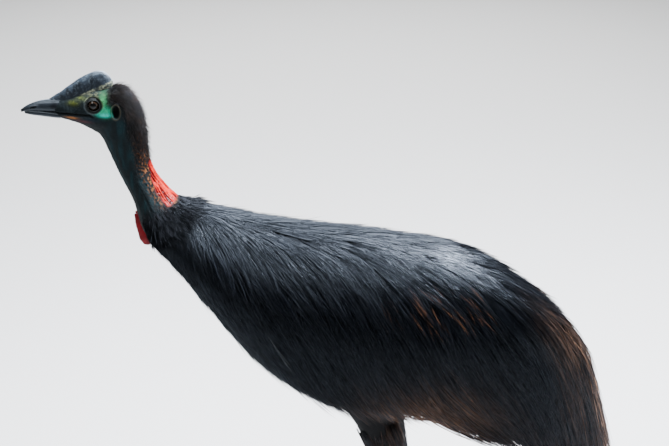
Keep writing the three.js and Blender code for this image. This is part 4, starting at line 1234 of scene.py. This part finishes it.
def body_coat(material):
    """Long loose strands round each body feather's line, some sunk and some standing off."""
    random = np.random.default_rng(FEATHERS["seed"] + 1)
    lines, faces, done, u, angle = body_guides(feather_roots(), random)
    guide = np.repeat(np.arange(len(lines)), FEATHERS["strands"])
    count = len(guide)
    rings = np.array(STRAND["rings"])[None]
    t = rings * random.uniform(0.72, 1.0, count)[:, None]
    centres = sample(lines[guide], done[guide], t)
    face = unit(sample(faces[guide], done[guide], t))
    across = unit(np.cross(unit(np.gradient(centres, axis=1)), face))
    fan = random.uniform(-1, 1, count)[:, None]
    fan = fan * np.interp(rings, STRAND_SPREAD["stops"], STRAND_SPREAD["across"])
    lift = STRAND_SPREAD["lift"] * (random.uniform(-1, 1, count)[:, None] * rings - (1 - rings) ** 4)
    turn = t * random.uniform(0.5, 1.4, count)[:, None] + random.uniform(0, 1, count)[:, None]
    wave = STRAND_SPREAD["wave"] * np.sin(2 * np.pi * turn) * rings
    centres = centres + across * (fan + wave)[..., None] + face * lift[..., None]
    buried = sometimes(random, 0.3, 0.1, 0.7, count)[:, None] * np.sin(np.pi * t)
    deep = core_inset(body_form.place_of(centres.reshape(-1, 3))).reshape(centres.shape[:2])
    often = 0.05 + 0.11 * smoothstep(u[guide], 9, 11)
    stray = sometimes(random, often, 2, 8, count)[:, None] * rings**2
    centres = centres + face * (stray - buried * deep)[..., None]
    thick = STRAND["root"] * random.uniform(0.75, 1.25, count)[:, None]
    radii = np.maximum(thick * np.interp(rings, [0, 0.25, 0.7, 1], [0.7, 1.0, 0.8, 0.0]), STRAND["tip"])
    tone = np.exp(random.normal(0, 0.35, len(lines))[guide] + random.normal(0, 0.45, count))
    # Strands whose tips take the orange-brown painted highlight
    tawny_highlight = sometimes(random, 0.12, 0.4, 1.0, count)
    colours = plumage_colours(centres, tone, tawny_highlight, random.uniform(0, 1, count))
    gloss = random.uniform(0, 1, len(lines))[guide] * 0.6 + random.uniform(0, 1, count) * 0.4
    high = smoothstep(centres[:, 2, 2], 735, 800)
    front = high * (1 - smoothstep(centres[:, 2, 0], 20, 170))
    roughness = 0.16 + (0.26 + 0.16 * high + 0.33 * front) * gloss ** (1.6 - 0.6 * front)
    patches = np.stack([0.02 + 0.66 * u / body_form.last, 0.5 + 0.48 * angle / np.pi], 1)[guide]
    patches = patches + random.uniform(-BAKE_JITTER, BAKE_JITTER, patches.shape)
    order = np.argsort(u[guide], kind="stable")
    order = order[~over_wattle(centres)[order]]
    strands = [part[order] for part in (centres, face, radii, colours, patches, roughness)]
    coat_pieces("coat", strands, material)


def thigh_coat(material):
    """Short plumes down the feathered part of each leg."""
    random = np.random.default_rng(THIGH_PLUMES["seed"])
    rings = np.array(THIGH_PLUMES["rings"])[None]
    count = THIGH_PLUMES["count"]
    sideways = np.array([0, 1.0, 0])
    sets = []
    for index, leg in enumerate(LEGS.values()):
        start = random.uniform(0.22, 0.93, count) ** 0.9
        angle = random.uniform(0, 2 * np.pi, count)
        reach = np.minimum(start + random.uniform(0.18, 0.30, count), 1.035)
        t = start[:, None] + (reach - start)[:, None] * rings
        line, sizes = thigh_line(leg, t)
        way = unit(thigh_line(leg, t + 0.01)[0] - line)
        past_end = np.linalg.norm(way, axis=-1, keepdims=True) < 0.5
        way = np.where(past_end, np.array([0.1, 0, -1.0]), way)
        across = unit(np.cross(np.broadcast_to(sideways, way.shape), way))
        twist = angle[:, None] + 0.25 * random.normal(0, 1, count)[:, None] * rings
        ahead, aside = np.cos(twist), np.sin(twist)
        rise = 0.74 + (0.30 + 0.05 * random.normal(0, 1, count)[:, None]) * rings
        spread = across * (ahead * sizes[..., 0])[..., None] + sideways * (aside * sizes[..., 1])[..., None]
        centres = line + spread * rise[..., None]
        centres[..., 2] -= random.uniform(0, 12, count)[:, None] * rings * (t > 0.97)
        face = unit(across * ahead[..., None] + sideways * aside[..., None])
        thick = THIGH_PLUMES["thick"] * random.uniform(0.7, 1.2, count)[:, None]
        radii = np.maximum(thick * np.array([0.8, 1.0, 0.7, 0.1]), 0.1)
        shade = random.uniform(0.6, 1.3, count)
        colours = plumage_colours(centres, shade, np.zeros(count), random.uniform(0, 1, count))
        patches = np.stack([0.72 + 0.14 * index + 0.12 * start, 0.02 + 0.96 * angle / (2 * np.pi)], 1)
        sets.append((centres, face, radii, colours, patches, random.uniform(0.3, 0.5, count)))
    coat_pieces("thigh_plumes", [np.concatenate(parts) for parts in zip(*sets)], material)


def bristle_roots(random):
    """Slice and angle of the short hairs, with how far each belongs to the crown and to the neck's base."""
    count = BRISTLES["count"]
    u = random.uniform(1.5, NECK_BASE + 0.8, count)
    u[: count // 8] = random.uniform(NECK_BASE - 1.1, NECK_BASE + 0.6, count // 8)
    angle = random.uniform(-np.pi, np.pi, count)
    nape = 1 - smoothstep(np.abs(angle), math.radians(45), math.radians(92))
    crown = nape * smoothstep(u, 4.0, 5.0) * (1 - smoothstep(u, 9.6, 11.8))
    red = smoothstep(red_share(u, angle), 0.1, 0.5)
    base = smoothstep(u, NECK_BASE - 1.4, NECK_BASE + 0.2) * (1 - 0.9 * red)
    keep = random.uniform(0, 1, count) < np.clip(0.05 + 0.8 * crown + 0.8 * base, 0, 1)
    root = skin_form.points(u, angle, 0.6)
    keep &= (spot_share(root, EAR, EAR_CLEAR) > 1) & (spot_share(root, EYE, EYE["clear"]) > 1)
    return [values[keep] for values in (u, angle, crown, base, root)]


def bristles(material):
    """Short hair-like feathers on the crown, nape and neck."""
    random = np.random.default_rng(BRISTLES["seed"])
    u, angle, crown, base, root = bristle_roots(random)
    rings = np.array(BRISTLES["rings"])[None]
    out_way = skin_form.outward(u, angle)
    ahead = skin_form.points(u + 0.05, angle) - skin_form.points(u - 0.05, angle)
    way = unit(unit(ahead) + 0.22 * random.normal(0, 1, ahead.shape))
    under = smoothstep(np.abs(angle), math.radians(95), math.radians(140))
    length = (2.6 + 9.5 * crown + 24 * base * (1 - 0.55 * under)) * random.uniform(0.6, 1.45, len(u))
    along = length[:, None] * rings
    lean = 0.40 - 0.22 * base + 0.20 * random.normal(0, 1, len(u)) * crown
    lift = lean[:, None] * along * (1.35 - 0.6 * rings)
    centres = root[:, None] + way[:, None] * along[..., None] + out_way[:, None] * lift[..., None]
    centres[..., 2] -= 0.14 * along * rings
    face = np.repeat(out_way[:, None], 4, 1)
    thick = (0.2 + 0.38 * base) * random.uniform(0.8, 1.25, len(u))
    radii = np.maximum(thick[:, None] * np.array([1.0, 0.9, 0.6, 0.1]), 0.04)
    shade = np.exp(random.normal(0, 0.5, len(u)) + 1.4 * noise(root, 9, 121))
    colours = np.repeat((mix(DOWN_BLACK, DOWN_BROWN, crown * 0.85) * shade[:, None])[:, None], 4, 1)
    patches = np.stack([0.02 + 0.30 * u / (NECK_BASE + 1), 0.5 + 0.48 * angle / np.pi], 1)
    seen = ~over_wattle(centres)
    strands = [part[seen] for part in (centres, face, radii, colours, patches, np.full(len(u), 0.5))]
    coat_pieces("bristles", strands, material)


# Floor, light and camera


def make_floor():
    bpy.ops.mesh.primitive_plane_add(size=FLOOR["size"], location=(0, 0, 0))
    floor = bpy.context.object
    floor.name = "floor"
    material, _, shader = new_material("floor_look", roughness=FLOOR["roughness"])
    shader.inputs["Base Color"].default_value = FLOOR["colour"]
    floor.data.materials.append(material)


def make_lights():
    world = bpy.data.worlds.new("studio")
    bpy.context.scene.world = world
    world.use_nodes = True
    world.node_tree.nodes["Background"].inputs["Color"].default_value = SKY["colour"]
    world.node_tree.nodes["Background"].inputs["Strength"].default_value = SKY["strength"]
    for name, (place, aim, size, power, colour) in LIGHTS.items():
        data = bpy.data.lights.new(name, "AREA")
        data.energy = power
        data.size = size
        data.color = colour
        light = bpy.data.objects.new(name, data)
        bpy.context.scene.collection.objects.link(light)
        light.location = place
        light.rotation_euler = (Vector(aim) - Vector(place)).to_track_quat("-Z", "Y").to_euler()


def make_camera():
    elevation = math.radians(CAMERA["elevation"])
    aim = Vector((np.array(CAMERA["aim"]) + SHIFT) * MM)
    back = Vector((0, -math.cos(elevation), math.sin(elevation)))
    data = bpy.data.cameras.new("camera")
    data.sensor_width = CAMERA["sensor"]
    data.lens = CAMERA["distance"] / CAMERA["mm_per_px"] / IMAGE[0] * data.sensor_width
    data.clip_start = 0.05
    data.clip_end = 100
    camera = bpy.data.objects.new("camera", data)
    bpy.context.scene.collection.objects.link(camera)
    camera.location = aim + back * CAMERA["distance"] * MM
    camera.rotation_euler = (-back).to_track_quat("-Z", "Y").to_euler()
    bpy.context.scene.camera = camera


make_camera()
make_lights()
make_floor()
make_skin()
make_eyes()
make_casque()
make_bill()
make_claws()
make_quills()
feather_look = feather_material("feather")
body_coat(feather_look)
thigh_coat(feather_look)
bristles(feather_material("down"))
